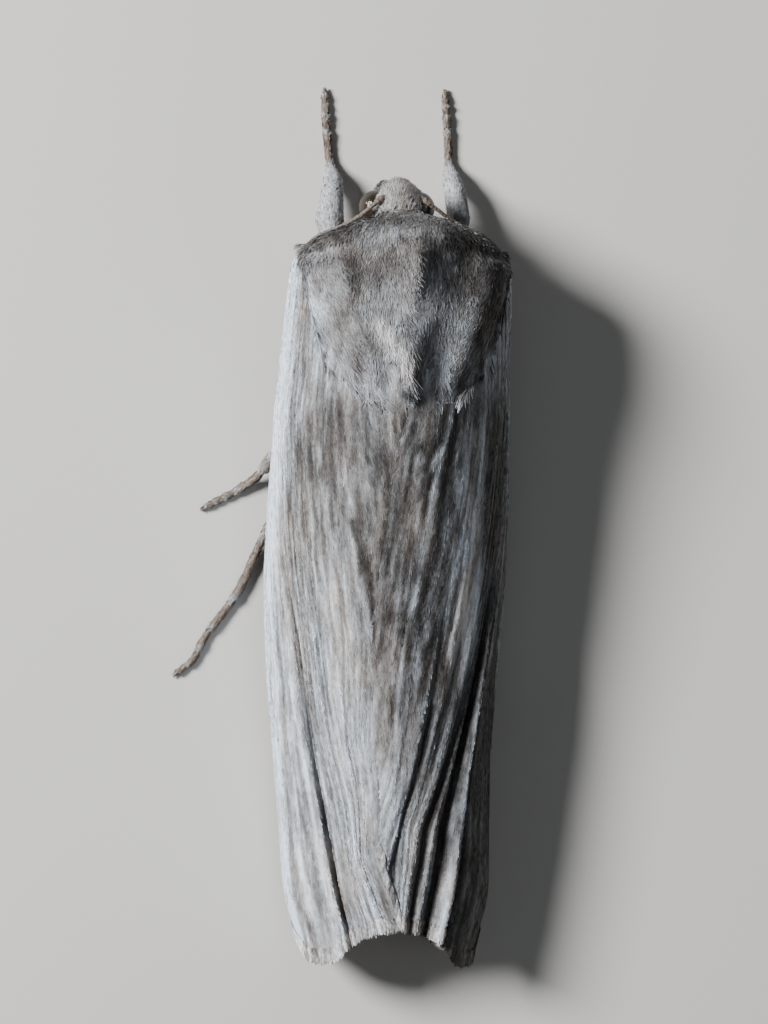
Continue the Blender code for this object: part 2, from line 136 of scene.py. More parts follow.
def noise(x, y, seed=0.0):
    """Smooth random values from 0 to 1, one for each whole x and y and blended between them."""

    def corner(i, j):
        h = np.sin(i * 127.1 + j * 311.7 + seed * 74.7) * 43758.5453
        return h - np.floor(h)

    i, j = np.floor(x), np.floor(y)
    u, v = smooth(0, 1, x - i), smooth(0, 1, y - j)
    near = corner(i, j) * (1 - u) + corner(i + 1, j) * u
    far = corner(i, j + 1) * (1 - u) + corner(i + 1, j + 1) * u
    return near * (1 - v) + far * v


def uneven(a, b, *waves):
    """Noise about 0 from waves, each its strength, how often it turns along a and along b, and a seed."""
    return sum(
        strength * (noise(a * often, b * along, seed) - 0.5) for strength, often, along, seed in waves
    )


half_width = track(
    (2.6, 3.9), (3.4, 4.02), (7.0, 4.2), (10.0, 4.34), (14.5, 4.38),
    (18.0, 4.18), (22.0, 3.9), (25.5, 3.78), (WING_TIP, 3.25),
)
sway = track((14.0, 0.0), (20.0, 0.12), (25.5, 0.5), (WING_TIP, 0.55))
ridge = track((2.0, 6.0), (5.0, 6.55), (9.0, 6.35), (15.0, 5.65), (22.0, 4.7), (WING_TIP, 3.9))
eaves = track((2.0, 3.1), (4.0, 2.75), (7.0, 1.95), (11.0, 1.4), (17.0, 1.0), (24.0, 0.62), (WING_TIP, 0.7))
seam = track(
    (SCUTELLUM, 0.0), (9.3, 0.07), (12.0, 0.13), (16.5, 0.185),
    (19.0, 0.18), (22.0, 0.145), (24.2, 0.165), (26.0, 0.16),
)
crossing = track((24.2, 0.165), (25.1, 0.12), (26.2, 0.05), (26.85, 0.0))
wing_root = track(
    (0.0, SCUTELLUM), (0.2, 6.6), (0.34, 5.6), (0.5, 4.2), (0.66, 3.2), (0.85, 2.95), (1.0, 2.9)
)
termen = track(
    (-0.165, 24.2), (-0.12, 25.1), (-0.05, 26.2), (0.0, 26.85), (0.16, 27.05), (0.3, 27.3), (0.39, 27.6),
    (0.48, 28.1), (0.6, WING_TIP), (0.8, 28.15), (1.0, 27.4),
)
groove = track(
    (8.0, 0.38), (13.5, 0.3), (16.5, 0.235), (19.0, 0.175), (21.5, 0.085), (24.0, -0.08), (25.2, -0.14)
)
anal_vein = track(
    (7.9, 0.27), (11.0, 0.166), (14.5, 0.1), (16.5, 0.02), (20.0, -0.04), (24.0, -0.11), (25.2, -0.16)
)
fan_base = track((20.0, 0.0), (24.0, -0.01), (26.9, -0.06))


def unit(vectors):
    return vectors / np.maximum(np.linalg.norm(vectors, axis=-1, keepdims=True), 1e-9)


def joined(*parts):
    """Vectors from their parts, each an array or a number."""
    return np.stack(np.broadcast_arrays(*parts), axis=-1)


def envelope(s, v, out=0.0):
    """Points of the folded wings' outer surface, moved out along its normal. v runs from -1 at the right
    costa over 0 at the ridge to 1 at the left costa."""

    def base(s, v):
        """Points of the surface itself, which is a superellipse across."""
        angle = np.minimum(np.abs(v), 1.0) * math.pi / 2
        across = half_width(s) * np.sin(angle) ** (2 / ROOF_SIDE)
        up = np.maximum(np.cos(angle), 0.0) ** (2 / ROOF_WALL)
        return joined(np.copysign(across, v) - sway(s), s, eaves(s) + (ridge(s) - eaves(s)) * up)

    s, v, out = np.broadcast_arrays(np.asarray(s, float), v, out)
    step = 0.01
    along = base(s + step, v) - base(s - step, v)
    over = base(s, np.minimum(v + step, 1.0)) - base(s, np.maximum(v - step, -1.0))
    return base(s, v) - unit(np.cross(along, over)) * out[..., None]


def fold_place(s):
    """The share at which the fold's bottom lies."""
    return np.minimum(0.86, FOLD_PLACE - FOLD_DRIFT * (s - FOLD_FROM))


# Pleats from the foot line to the fold: their shares of the way in front and at the rear, and heights.
PLEATS = (
    (0.2, 0.08, 0.0), (0.4, 0.17, 0.02), (0.58, 0.27, 0.04),
    (0.69, 0.38, -0.1), (0.8, 0.54, 0.02), (0.89, 0.71, -0.2),
)
OUTER_LINES = 5  # from the fold's outer edge to the costa
LINES = 6 + len(PLEATS) + OUTER_LINES


def wing_lines(side, s):
    """A forewing's lengthwise ridges and furrows at s, much as in the solids: their shares of the way from
    the ridge to its own costa, and their heights, each an array of lines by s. They are the margin, the anal
    vein, the lip and foot of a groove, the pleats, the fold's crest and bottom, and the outer lines. The
    right forewing lies on top, and the left one's margin runs on under it."""
    free, opened = smooth(7.2, 11.0, s), smooth(13.0, 20.0, s)
    level = 0 * s
    if side < 0:
        apart, pleated, crested, shifted = 0.03, 1.0, 0.28, 0.0
        margin = -seam(s)
        closed = opened * smooth(25.7, 24.7, s)
        heights = [level, 0.1 * free * smooth(25.5, 24.0, s), 0.06 * closed, -0.12 * closed]
    else:
        apart, pleated, crested, shifted = 0.06, 0.3, 0.12, 0.035
        margin = np.minimum(seam(s), crossing(s)) - 0.05 * free
        heights = [-0.18 * free, -0.06 * free, level, level]
    vein = np.maximum(margin + apart, anal_vein(s))
    lip = np.maximum(vein + apart, groove(s))
    foot = lip + 0.02
    shares = [margin, vein, lip, foot]
    fold = fold_place(s) + shifted * smooth(16.0, 21.0, s)
    crest, outer = fold - FOLD_HALF_WIDTH, fold + FOLD_HALF_WIDTH
    base, spread = np.maximum(foot, fan_base(s)), smooth(17.0, 26.0, s)
    for front, rear, height in PLEATS:
        shares.append(base + (crest - base) * (front + (rear - front) * spread))
        heights.append(height * opened * pleated)
    shares += [crest, fold]
    heights += [crested * opened, -FOLD_DEPTH * smooth(14.0, 21.0, s)]
    for t in np.linspace(0, 1, OUTER_LINES):
        shares.append(outer + (1 - outer) * t)
        heights.append(0.05 * math.sin(math.pi * t) + level)
    return np.array(shares), np.array(heights)


def wing_column(side, column, s):
    """Share and height of a forewing at fractional columns, where whole columns are its lines, and s."""
    i = np.clip(np.floor(column).astype(int), 0, LINES - 2)
    t = column - i
    found = []
    for table, blend in zip(wing_lines(side, s), (t, 0.45 * t + 0.55 * smooth(0, 1, t))):
        near, far = (np.take_along_axis(table, k[None], axis=0)[0] for k in (i, i + 1))
        found.append(near * (1 - blend) + far * blend)
    return found


# ---- markings and painted light and shade, the same for the skin and for what grows on it ----


def patched(rows, **where):
    """The sum of a table's patches. Each is an amount and its gates: a measure, and where it opens from and
    to, or the word near, a measure, a middle and a width."""
    total = 0.0
    for amount, *gates in rows:
        for *near, name, a, b in gates:
            amount = amount * (hump if near else smooth)(a, b, where[name])
        total = total + amount
    return total


# Streaks of a forewing: v and s of each end, half width in millimetres, and how much paler or darker it is.
STREAKS = (
    (0.605, 8.6, 0.586, 10.7, 0.09, -0.26),
    (0.72, 11.0, 0.71, 12.2, 0.09, -0.24),
    (0.627, 11.7, 0.603, 12.8, 0.08, -0.2),
    (0.275, 8.4, 0.239, 12.6, 0.09, -0.26),
    (0.325, 12.4, 0.243, 13.8, 0.12, -0.36),
    (0.243, 13.8, 0.195, 15.4, 0.15, -0.36),
    (0.2, 14.4, 0.185, 17.2, 0.14, -0.24),
    (0.44, 7.8, 0.4, 9.4, 0.1, -0.16),
    (0.16, 10.2, 0.145, 13.6, 0.12, -0.2),
    (-0.304, 12.6, -0.207, 16.5, 0.13, -0.24),
    (-0.207, 16.5, -0.16, 19.5, 0.1, -0.2),
    (-0.36, 8.0, -0.33, 10.6, 0.13, -0.18),
    (-0.42, 10.5, -0.43, 18.5, 0.16, 0.14),
    (0.8, 6.0, 0.84, 15.0, 0.16, 0.08),
)
FREE = ("s", 7.0, 9.0)  # where the wings are free of the thorax
# Patches of both forewings: towards the outer margin paler, in the middle of the front half darker.
BOTH_WINGS = (
    (-0.05, ("share", 0.84, 0.7), ("share", 0.4, 0.55)),
    (0.08, ("s", 13, 19), ("share", 0.62, 0.35)),
    (0.07, ("s", 17, 21)),
    (-0.13, ("share", 0.3, 0.42), ("share", 0.74, 0.6), ("s", 14.5, 9.5), ("s", 6.5, 8.5)),
)
# The left one: paler at the costa, its own pale colour raised by painted light where it faces the key lamp,
# and paler up the fold's outer wall by painted light against the fold's shade; dark along the fold's bottom,
# partly by darker scales and partly by painted shade; and a dusky field along the inner margin that ends at
# a slanting line.
LEFT_WING = (
    # Paler at the costa: its own pale colour, with painted light where it faces the key lamp.
    (0.4, ("share", 0.78, 0.92)),
    # Dark along the fold's bottom: partly darker scales, partly painted shade.
    (-0.2, ("near", "fold", 0, 0.09), ("s", 14.3, 16.0)),
    # Painted light up the fold's outer wall, against its shade.
    (0.14, ("near", "fold", 0.308, 0.22), ("s", 15.5, 17.5)),
    (-0.05, ("slant", 0.03, -0.03), ("s", 16.6, 15.0), FREE),
    (-0.07, ("s", 17.0, 14.0), ("share", 0.8, 0.7), FREE),
    (0.14, ("s", 9.4, 7.2), ("share", 0.18, 0.34), ("share", 0.8, 0.7), FREE),
    (-0.06, ("s", 9.4, 8.4), ("share", 0.2, 0.12), FREE),
    (0.11, ("share", 0.4, 0.52), ("share", 0.66, 0.62), ("s", 12.5, 14.5), ("s", 20.0, 18.5)),
)
# The right one: the dusky field runs on. The pleats behind the foot line are darkened by painted shade,
# most under the fold, and so is the wing beyond the fold. Before the fold begins, the wing is paler up to
# its steep side, and painted shade darkens the steep side. Along the fold's bottom it is dark, partly by
# darker scales and partly by painted shade. It is dusky along the inner margin, and again at the outer one.
RIGHT_WING = (
    (0.24, ("share", 0.78, 0.92)),
    # Dark along the fold's bottom: partly darker scales, partly painted shade.
    (-0.1, ("near", "fold", 0, 0.09), ("s", 14.3, 16.0)),
    (-0.33, ("share", 0.46, 0.3), ("ahead", 19.0, 16.0), FREE),
    (0.1, ("s", 10.8, 12.5), ("share", 0.46, 0.3), ("ahead", 19.0, 16.0)),
    (-0.12, ("share", 0.22, 0.06), ("s", 17.5, 14.5), FREE),
    (-0.13, ("s", 16.0, 19.0), ("s", 24.5, 22.0), ("foot", 0.0, -0.05)),
    # Painted shade: the pleats from the foot line to the fold, darkest under the fold, and the wing beyond
    # it.
    (-0.36, ("foot", -0.01, 0.03), ("fold", -0.168, -0.336), ("s", 15.0, 19.0), ("s", 26.5, 22.0)),
    (-0.25, ("near", "line", 9.0, 0.5), ("s", 16.0, 18.5), ("s", 26.5, 24.0)),
    (-0.15, ("near", "line", 7.0, 0.3), ("s", 19.0, 22.0)),
    (-0.5, ("fold", 0.0, 0.224), ("s", 16.0, 19.0)),
    (0.3, ("s", 19.0, 16.0), ("s", 8.0, 9.5), ("share", 0.2, 0.36), ("share", 0.54, 0.5), FREE),
    (0.12, ("share", 0.1, 0.2), ("share", 0.36, 0.28), ("s", 15.0, 16.5), ("s", 20.0, 18.5)),
    (-0.17, ("share", 0.12, 0.04), ("s", 14.8, 16.2), ("s", 22.5, 20.0)),
    (-0.2, ("share", 0.34, 0.26), ("s", 23.6, 25.0)),
    (-0.16, ("near", "share", 0.22, 0.07), ("s", 24.8, 25.6)),
    (-0.16, ("share", -0.05, -0.09), ("s", 22.0, 23.0)),
    # Painted shade on the steep side, before the fold begins.
    (-0.26, ("s", 19.0, 16.0), ("share", 0.52, 0.57), ("share", 0.9, 0.8), FREE),
)


def wing_marks_and_painted_light(side, line, share, foot_share, s, height):
    """(tone, warmth) of a forewing's scales, with their markings and painted light and shade: tone from 0,
    near black, to 1, white.
    """
    # Streaks between the veins, broad and fine, long and broken.
    tone = 0.58 + uneven(share, s, (0.16, 9.0, 0.22, side)) + uneven(
        line, s, (0.16, 1.7, 0.16, side * 5), (0.22, 3.3, 0.32, side * 6), (0.25, 5.5, 0.7, side * 7),
        (0.28, 8.0, 1.6, side * 8), (0.22, 3.9, 1.3, side * 10),
    )
    broken = np.clip(0.6 + 0.9 * (noise(share * 17, s * 1.3, 9) - 0.3), 0.4, 1.2)
    for v0, s0, v1, s1, width, change in STREAKS:
        t = np.clip((s - s0) / (s1 - s0), 0.0, 1.0)
        beyond = np.maximum(0.0, np.maximum(s0 - s, s - s1))
        off = np.hypot((side * share - (v0 + (v1 - v0) * t)) * WING_ACROSS, 0.4 * beyond)
        tone = tone + 1.2 * change * hump(0, width, off) * broken
    # The veins are fine dark lines with a pale edge, broken here and there. Furrows are darker, partly by
    # their darker scales and partly by painted shade, and crests are paler by painted light.
    off = line - np.round(line)
    broken = smooth(0.3, 0.7, noise(np.round(line) * 3.7, s * 0.5, 12))
    veined = smooth(7.5, 10.0, s) * (line > 3.5) * broken
    tone = tone + veined * (0.05 * hump(0.35, 0.16, off) - 0.13 * hump(0, 0.17, off))
    # Painted shade in the furrows and painted light on the crests, from the relief's height.
    tone = tone + np.interp(height, [-0.6, -0.25, -0.08, 0.0, 0.2], [-0.5, -0.36, -0.12, 0.0, 0.1])
    warmth = 0.18 + uneven(share, s, (0.6, 8, 0.4, 21), (0.4, 23, 0.9, 22)) - 0.5 * smooth(0.76, 0.9, share)
    if side < 0:
        # The upper wing's anal vein is a long pale line, with a dark one on its outer side.
        off = (share - anal_vein(s)) * WING_ACROSS
        broken = smooth(7.0, 8.0, s) * smooth(21.0, 17.0, s) * (0.5 + 0.7 * noise(share * 7, s * 1.9, 14))
        tone = tone + broken * (0.4 * hump(0, 0.08, off) - 0.36 * hump(0.26, 0.13, off))
        blotches = uneven(share, s, (0.36, 24, 0.5, 33), (0.26, 48, 1.3, 34))
        tone = tone + blotches * smooth(0.62, 0.5, share) * smooth(21.0, 17.5, s)
        # An ochre band runs down it inside its steep side.
        band = smooth(0.36, 0.4, share) * smooth(0.52, 0.47, share) * noise(share * 30, s * 1.2, 23)
        warmth = warmth - 0.13 + 0.7 * band * smooth(9.5, 11.0, s) * smooth(19.0, 17.0, s)
    tone = tone + patched(
        BOTH_WINGS + (RIGHT_WING if side < 0 else LEFT_WING), share=share, s=s, line=line,
        fold=(share - fold_place(s)) * WING_ACROSS, foot=share - foot_share,
        slant=share - 0.32 + 0.042 * (s - 12.3), ahead=s + smooth(0.2, 0.0, share),
    )
    return np.clip(tone, 0.02, 1.0), np.clip(warmth, 0.0, 1.0)


# ---- meshes ----


def placed(name, data):
    """A new object in the scene."""
    obj = bpy.data.objects.new(name, data)
    bpy.context.scene.collection.objects.link(obj)
    return obj


def new_piece(name, points, faces, looks, place, marks, uv=None, normals=None, replaced=()):
    """A mesh piece from arrays in the moth's frame. place holds each point's (across, along, 0) in
    millimetres for the material's patterns, marks its (tone, warmth, chance), and uv its spot on the bake's
    map. normals are given only where the shading is to follow something else than the piece's own shape."""
    mesh = bpy.data.meshes.new(name)
    mesh.vertices.add(points.size // 3)
    mesh.vertices.foreach_set("co", (points * MM + ORIGIN).astype(np.float32).ravel())
    loops = faces.astype(np.int32).ravel()
    mesh.loops.add(len(loops))
    mesh.loops.foreach_set("vertex_index", loops)
    mesh.polygons.add(len(faces))
    mesh.polygons.foreach_set("loop_start", np.arange(len(faces), dtype=np.int32) * faces.shape[1])
    mesh.polygons.foreach_set("use_smooth", np.ones(len(faces), bool))
    mesh.update(calc_edges=True)
    for attribute, values in (("place", place), ("mark", marks)):
        layer = mesh.attributes.new(attribute, "FLOAT_VECTOR", "POINT")
        layer.data.foreach_set("vector", np.asarray(values, np.float32).ravel())
    if uv is not None:
        layer = mesh.uv_layers.new(name="OFBake")
        layer.data.foreach_set("uv", uv.astype(np.float32).reshape(-1, 2)[loops].ravel())
    if normals is not None:
        mesh.normals_split_custom_set_from_vertices(normals.astype(np.float32))
    mesh.materials.append(looks)
    obj = placed(name, mesh)
    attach(obj, "root")
    if replaced:
        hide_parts(*replaced)
    return obj


def grid_faces(rows, columns, start=0, turned=False):
    """Quads of a grid of points that are numbered row by row."""
    corner = np.arange(rows * columns).reshape(rows, columns) + start
    quads = joined(corner[:-1, :-1], corner[:-1, 1:], corner[1:, 1:], corner[1:, :-1]).reshape(-1, 4)
    return quads[:, ::-1] if turned else quads


def shell(outer, inner, turned):
    """Points and faces of a closed sheet between two grids."""
    rows, columns = outer.shape[:2]
    points = np.concatenate([outer.reshape(-1, 3), inner.reshape(-1, 3)])
    other = rows * columns
    index = np.arange(other).reshape(rows, columns)
    rim = np.concatenate([index[0], index[1:, -1], index[-1, -2::-1], index[-2:0:-1, 0]])
    ahead = np.roll(rim, -1)
    band = joined(rim, rim + other, ahead + other, ahead)
    faces = [grid_faces(rows, columns, 0, turned), grid_faces(rows, columns, other, not turned)]
    return points, np.concatenate(faces + [band[:, ::-1] if turned else band])


def sheet(name, looks, outer, inner, turned, place, marks, under, spots, solid):
    """A closed sheet. Its outside is on the lower half of the bake's map, its inside on the upper."""
    points, faces = shell(outer, inner, turned)
    new_piece(
        name, points, faces, looks, np.stack([place, place]), np.stack([marks, under]),
        np.stack([spots, spots + [0.0, 0.5]]), replaced=(solid,),
    )


def scatter(grid, count):
    """Random places on a grid surface, in proportion to area: fractional rows and columns."""
    a = grid[1:, :-1] - grid[:-1, :-1]
    b = grid[:-1, 1:] - grid[:-1, :-1]
    area = np.linalg.norm(np.cross(a, b), axis=-1)
    cell = RANDOM.choice(area.size, count, p=area.ravel() / area.sum())
    return cell // area.shape[1] + RANDOM.random(count), cell % area.shape[1] + RANDOM.random(count)


def at(table, r, c):
    """Values of a grid table at fractional rows and columns."""
    i = np.clip(r.astype(int), 0, table.shape[0] - 2)
    j = np.clip(c.astype(int), 0, table.shape[1] - 2)
    u, v = r - i, c - j
    if table.ndim > 2:
        u, v = u[:, None], v[:, None]
    near = table[i, j] * (1 - v) + table[i, j + 1] * v
    far = table[i + 1, j] * (1 - v) + table[i + 1, j + 1] * v
    return near * (1 - u) + far * u


# How a blade is shaped along its length: (share of the length, width, height).
SCALE = ((0.0, 0.4, 0.0), (1.0, 1.0, 1.0))
HAIR = ((0.0, 1.0, 0.0), (0.5, 0.85, 0.65), (1.0, 0.25, 1.0))
FRINGE_SCALE = ((0.0, 0.6, 0.0), (0.6, 1.0, 0.6), (1.0, 0.45, 1.0))


def blades(name, slot, looks, shape, roots, along, normal, size, place, marks, uv,
           wander=0.2, roll=0.3, tip_tone=0.1, even=0.6):
    """A coat piece: a thin blade on each root, leaning from the normal to lie along. size is its length, its
    width and the height of its tip as a share of its length, wander and roll how far it turns by chance,
    tip_tone how much paler its tip is, and even how far its shading follows the skin's."""
    count = len(roots)
    turn = RANDOM.normal(0, wander, count)[:, None]
    side = unit(np.cross(normal, along))
    along = unit(along * np.cos(turn) + side * np.sin(turn))
    side = unit(np.cross(normal, along))
    tilt = RANDOM.normal(0, roll, count)[:, None]
    side = unit(side * np.cos(tilt) + normal * np.sin(tilt))
    length, width, lift = (
        (np.broadcast_to(value, count) * RANDOM.uniform(low, high, count))[:, None]
        for value, low, high in zip(size, (0.75, 0.8, 0.5), (1.2, 1.2, 1.5))
    )
    shading = unit(normal * even + unit(np.cross(along + normal * lift, side)) * (1 - even))
    points, spots, tones = [], [], []
    for share, wide, high in shape:
        middle = roots + along * length * share * np.sqrt(np.maximum(1 - (lift * high) ** 2, 0.2))
        middle = middle + normal * length * lift * high
        for hand in (-1, 1):
            points.append(np.maximum(middle + side * width * wide * hand / 2, [-np.inf, -np.inf, 0.0]))
            spots.append(uv + np.array([0.0015 * hand, 0.003 * (share - 0.5)]))
            tones.append(marks + np.array([tip_tone * (share - 0.4), 0.0, 0.0]))
    corners = 2 * len(shape)
    first = np.arange(count)[:, None] * corners
    quads = [first + np.array([i, i + 2, i + 3, i + 1]) for i in range(0, corners - 2, 2)]
    points, quads, tones, spots = (np.stack(found, axis=1) for found in (points, quads, tones, spots))
    new_piece(
        name, points, quads.reshape(-1, 4), looks, np.repeat(place, corners, axis=0), tones, spots,
        np.repeat(shading, corners, axis=0),
    )


def chanced(marks, r, c):
    """The marks there, each with a chance of its own."""
    found = at(marks, r, c)
    found[:, 2] = RANDOM.random(len(r))
    return found


def grown(name, slot, looks, shape, surface, r, c, marks, size, sunk=0.0, **how):
    """Blades on a grid surface, given as its points, place, uv and the sign that turns its normals out."""
    grid, place, spots, outward = surface
    along = unit(at(np.gradient(grid, axis=0), r, c))
    normal = unit(np.cross(along, at(np.gradient(grid, axis=1), r, c))) * outward
    roots, place, uv = at(grid, r, c) - normal * sunk, at(place, r, c), at(spots, r, c)
    blades(name, slot, looks, shape, roots, along, normal, size, place, marks, uv, **how)


# ---- materials ----


def material(name):
    """A new material, its nodes and its shader."""
    made = bpy.data.materials.new(name)
    made.use_nodes = True
    return made, made.node_tree, made.node_tree.nodes["Principled BSDF"]


def fill(node, inputs):
    """Sets a node's inputs, each to a value or from a socket."""
    for name, value in inputs.items():
        if isinstance(value, bpy.types.NodeSocket):
            node.id_data.links.new(value, node.inputs[name])
        else:
            node.inputs[name].default_value = value


def new_node(tree, kind, inputs=None, **settings):
    node = tree.nodes.new("ShaderNode" + kind)
    for name, value in settings.items():
        setattr(node, name, value)
    fill(node, inputs or {})
    return node


def maths(tree, operation, a, b):
    """The result of two inputs, each a socket or a number."""
    return new_node(tree, "Math", {0: a, 1: b}, operation=operation).outputs[0]


def pattern(tree, vector, stretch, scale, detail=2.0):
    """Noise on a stretched vector, less its mean."""
    stretched = new_node(tree, "Mapping", {"Scale": stretch, "Vector": vector}).outputs[0]
    made = new_node(tree, "TexNoise", {"Scale": scale, "Detail": detail, "Vector": stretched})
    return maths(tree, "SUBTRACT", made.outputs["Fac"], 0.5)


def ramp(tree, value, stops):
    """The colour for a value, between stops."""
    made = new_node(tree, "ValToRGB", {"Fac": value})
    elements = made.color_ramp.elements
    while len(elements) < len(stops):
        elements.new(0.5)
    for element, (position, colour) in zip(elements, stops):
        element.position = position
        element.color = (*colour, 1)
    return made.outputs["Color"]


GREYS = (
    (0.0, (0.012, 0.010, 0.009)), (0.25, (0.062, 0.060, 0.060)), (0.5, (0.195, 0.205, 0.215)),
    (0.72, (0.385, 0.42, 0.465)), (1.0, (0.76, 0.84, 0.94)),
)
BROWNS = (
    (0.0, (0.022, 0.013, 0.008)), (0.25, (0.10, 0.072, 0.052)), (0.5, (0.25, 0.205, 0.17)),
    (0.72, (0.46, 0.41, 0.365)), (1.0, (0.80, 0.74, 0.68)),
)


def coat_looks(name, streak=0.3, speckle=0.22, chance=0.3, roughness=0.55, sheen=0.2, bump=0.0):
    """Scales and hairs: the mark's tone, broken up by fine streaks and specks that follow the place."""
    made, tree, shader = material(name)
    place, mark = (
        new_node(tree, "Attribute", attribute_name=key).outputs["Vector"] for key in ("place", "mark")
    )
    tone, warmth, luck = new_node(tree, "SeparateXYZ", {0: mark}).outputs
    streaks = pattern(tree, place, (6.0, 0.4, 1.0), 1.6, 3.0)
    specks = pattern(tree, place, (9.0, 4.0, 1.0), 1.0, 1.0)
    luck = maths(tree, "SUBTRACT", luck, 0.5)
    for part, amount in ((streaks, streak), (specks, speckle), (luck, chance)):
        tone = maths(tree, "ADD", tone, maths(tree, "MULTIPLY", part, amount))
    colours = {"Factor": warmth, "A": ramp(tree, tone, GREYS), "B": ramp(tree, tone, BROWNS)}
    colour = new_node(tree, "Mix", colours, data_type="RGBA").outputs["Result"]
    fill(shader, {
        "Base Color": colour, "Roughness": roughness, "Specular IOR Level": 0.35,
        "Sheen Weight": sheen, "Sheen Roughness": 0.4,
    })
    if bump:
        grain = maths(tree, "ADD", specks, streaks)
        relief = new_node(tree, "Bump", {"Strength": 0.7, "Distance": bump * MM, "Height": grain})
        fill(shader, {"Normal": relief.outputs["Normal"]})
    return made


# ---- forewings ----

WING_ROWS = 230
LINE_STEPS = 8  # columns of the mesh from one line to the next
LAYER_SCALES = 60000
FRINGE_SCALES = 13500


def forewing(word, side, membrane_looks, scale_looks):
    """The membrane with its veins and pleats, the scales on it and the fringe along its end."""
    columns = np.linspace(0, LINES - 1, (LINES - 1) * LINE_STEPS + 1)
    share_ahead, _ = wing_column(side, columns, np.full(len(columns), 5.0))
    start = wing_root(share_ahead) + 0.3 * smooth(0.88, 1.0, share_ahead) ** 2
    # Each column's end on the outer margin, found by halving.
    low, high = np.full(len(columns), 20.0), np.full(len(columns), 29.0)
    for _ in range(24):
        s = (low + high) / 2
        inside = s < termen(wing_column(side, columns, s)[0])
        low, high = np.where(inside, s, low), np.where(inside, high, s)
    s = start + (low - FRINGE - start) * np.linspace(0, 1, WING_ROWS)[:, None]
    column = np.broadcast_to(columns, s.shape)
    share, height = (found.reshape(s.shape) for found in wing_column(side, column.ravel(), s.ravel()))
    # Like the columns, but as evenly spaced over the first, narrow ones as over the rest.
    foot = wing_lines(side, s.ravel())[0][3].reshape(s.shape)
    line = np.where(column < 3, 3 - (foot - share) * 11, column)
    across = line * WING_ACROSS / (LINES - 1)
    wavy = (0.04 + 0.05 * smooth(9, 19, s)) * uneven(line, s, (1, 2.3, 0.12, side))
    wavy = wavy + uneven(share, s, (0.04, 9, 0.5, 3)) + uneven(line, s, (0.035, 5.1, 0.45, 4))
    relief = height + wavy * smooth(0.0, 1.0, (share - share[:, :1]) * WING_ACROSS / 0.6)
    outer = envelope(s, side * share, relief - SCALE_DEPTH)
    thickness = MEMBRANE * (0.25 + 0.75 * smooth(0.0, 0.6, column))
    inner = envelope(s, side * share, relief - SCALE_DEPTH - thickness)

    tone, warmth = wing_marks_and_painted_light(side, line, share, foot, s, relief)
    place = joined(across, s, 0.0)
    marks = joined(tone, warmth, 0.5)
    under = joined(0.42 + uneven(across, s, (0.12, 2, 0.2, 8)), 0.8, 0.5)
    spots = joined(s / 30, 0.03 + 0.4 * (share + 0.2))
    sheet(
        f"forewing_{word}_membrane", membrane_looks, outer, inner, side < 0,
        place, marks, under, spots, f"forewing_{word}",
    )

    surface = (outer, place, spots, side)
    for layer in (1, 2):
        r, c = scatter(outer, LAYER_SCALES)
        grown(
            f"forewing_{word}_scales_{layer}", "wing_scales", scale_looks, SCALE, surface, r, c,
            chanced(marks, r, c), (0.17, 0.08, 0.07), wander=0.11, roll=0.2, tip_tone=0.05, even=0.5,
        )

    # The fringe stands on the outer margin in overlapping rows.
    edge = np.linalg.norm(np.diff(outer[-1], axis=0), axis=1)
    c = RANDOM.choice(len(edge), FRINGE_SCALES, p=edge / edge.sum()) + RANDOM.random(FRINGE_SCALES)
    r = WING_ROWS - 1.001 - 3.5 * RANDOM.random(FRINGE_SCALES)
    sunk = RANDOM.uniform(-0.012, 0.6 * MEMBRANE, FRINGE_SCALES)[:, None]
    tufted = noise(c * 0.9, c * 0, 17)
    tone = at(marks, r - 4, c)[:, 0] - 0.03 + 0.1 * tufted
    mark = joined(tone, 0.35 + 0.3 * tufted, RANDOM.random(FRINGE_SCALES))
    length = FRINGE * RANDOM.choice([0.75, 1.15], FRINGE_SCALES) * (0.85 + 0.3 * tufted)
    grown(
        f"forewing_{word}_fringe", "wing_scales", scale_looks, FRINGE_SCALE, surface, r, c, mark,
        (length, 0.062, 0.03), sunk, wander=0.1, roll=0.15, tip_tone=0.05, even=0.85,
    )


# ---- hindwings ----


def hindwing(word, side, looks):
    """A thin pleated fan, folded under the forewing."""
    t, u = np.meshgrid(np.linspace(0, 1, 90), np.linspace(0, 1, 70), indexing="ij")
    first = 8.0
    s = first + (20.7 + 2.6 * np.sin(math.pi * (0.15 + 0.7 * u)) - first) * t
    share = 0.08 + 0.62 * u * (0.72 + 0.28 * np.sin(math.pi * (0.2 + 0.6 * t)))
    pleats = 0.09 * np.sin(u * 9 * math.pi) * smooth(0.0, 0.5, t)
    out = pleats - SHEET - 0.62 - (FOLD_DEPTH - 0.2) * smooth(13.0, 19.0, s)
    outer, inner = (envelope(s, side * share, out - depth) for depth in (0, 0.08))
    # Painted shade in the pleats' valleys and painted light on their crests; the fan is also darker towards
    # its end.
    marks = joined(0.55 - 0.22 * smooth(0.6, 1.0, t) + 0.6 * pleats, 0.75, 0.5)
    sheet(
        f"hindwing_{word}_membrane", looks, outer, inner, side < 0,
        joined(u * 5.0, s, 0.0), marks, marks, joined(t * 0.9 + 0.05, u * 0.4 + 0.05), f"hindwing_{word}",
    )


# ---- tubes: legs, feelers, claws and spurs ----


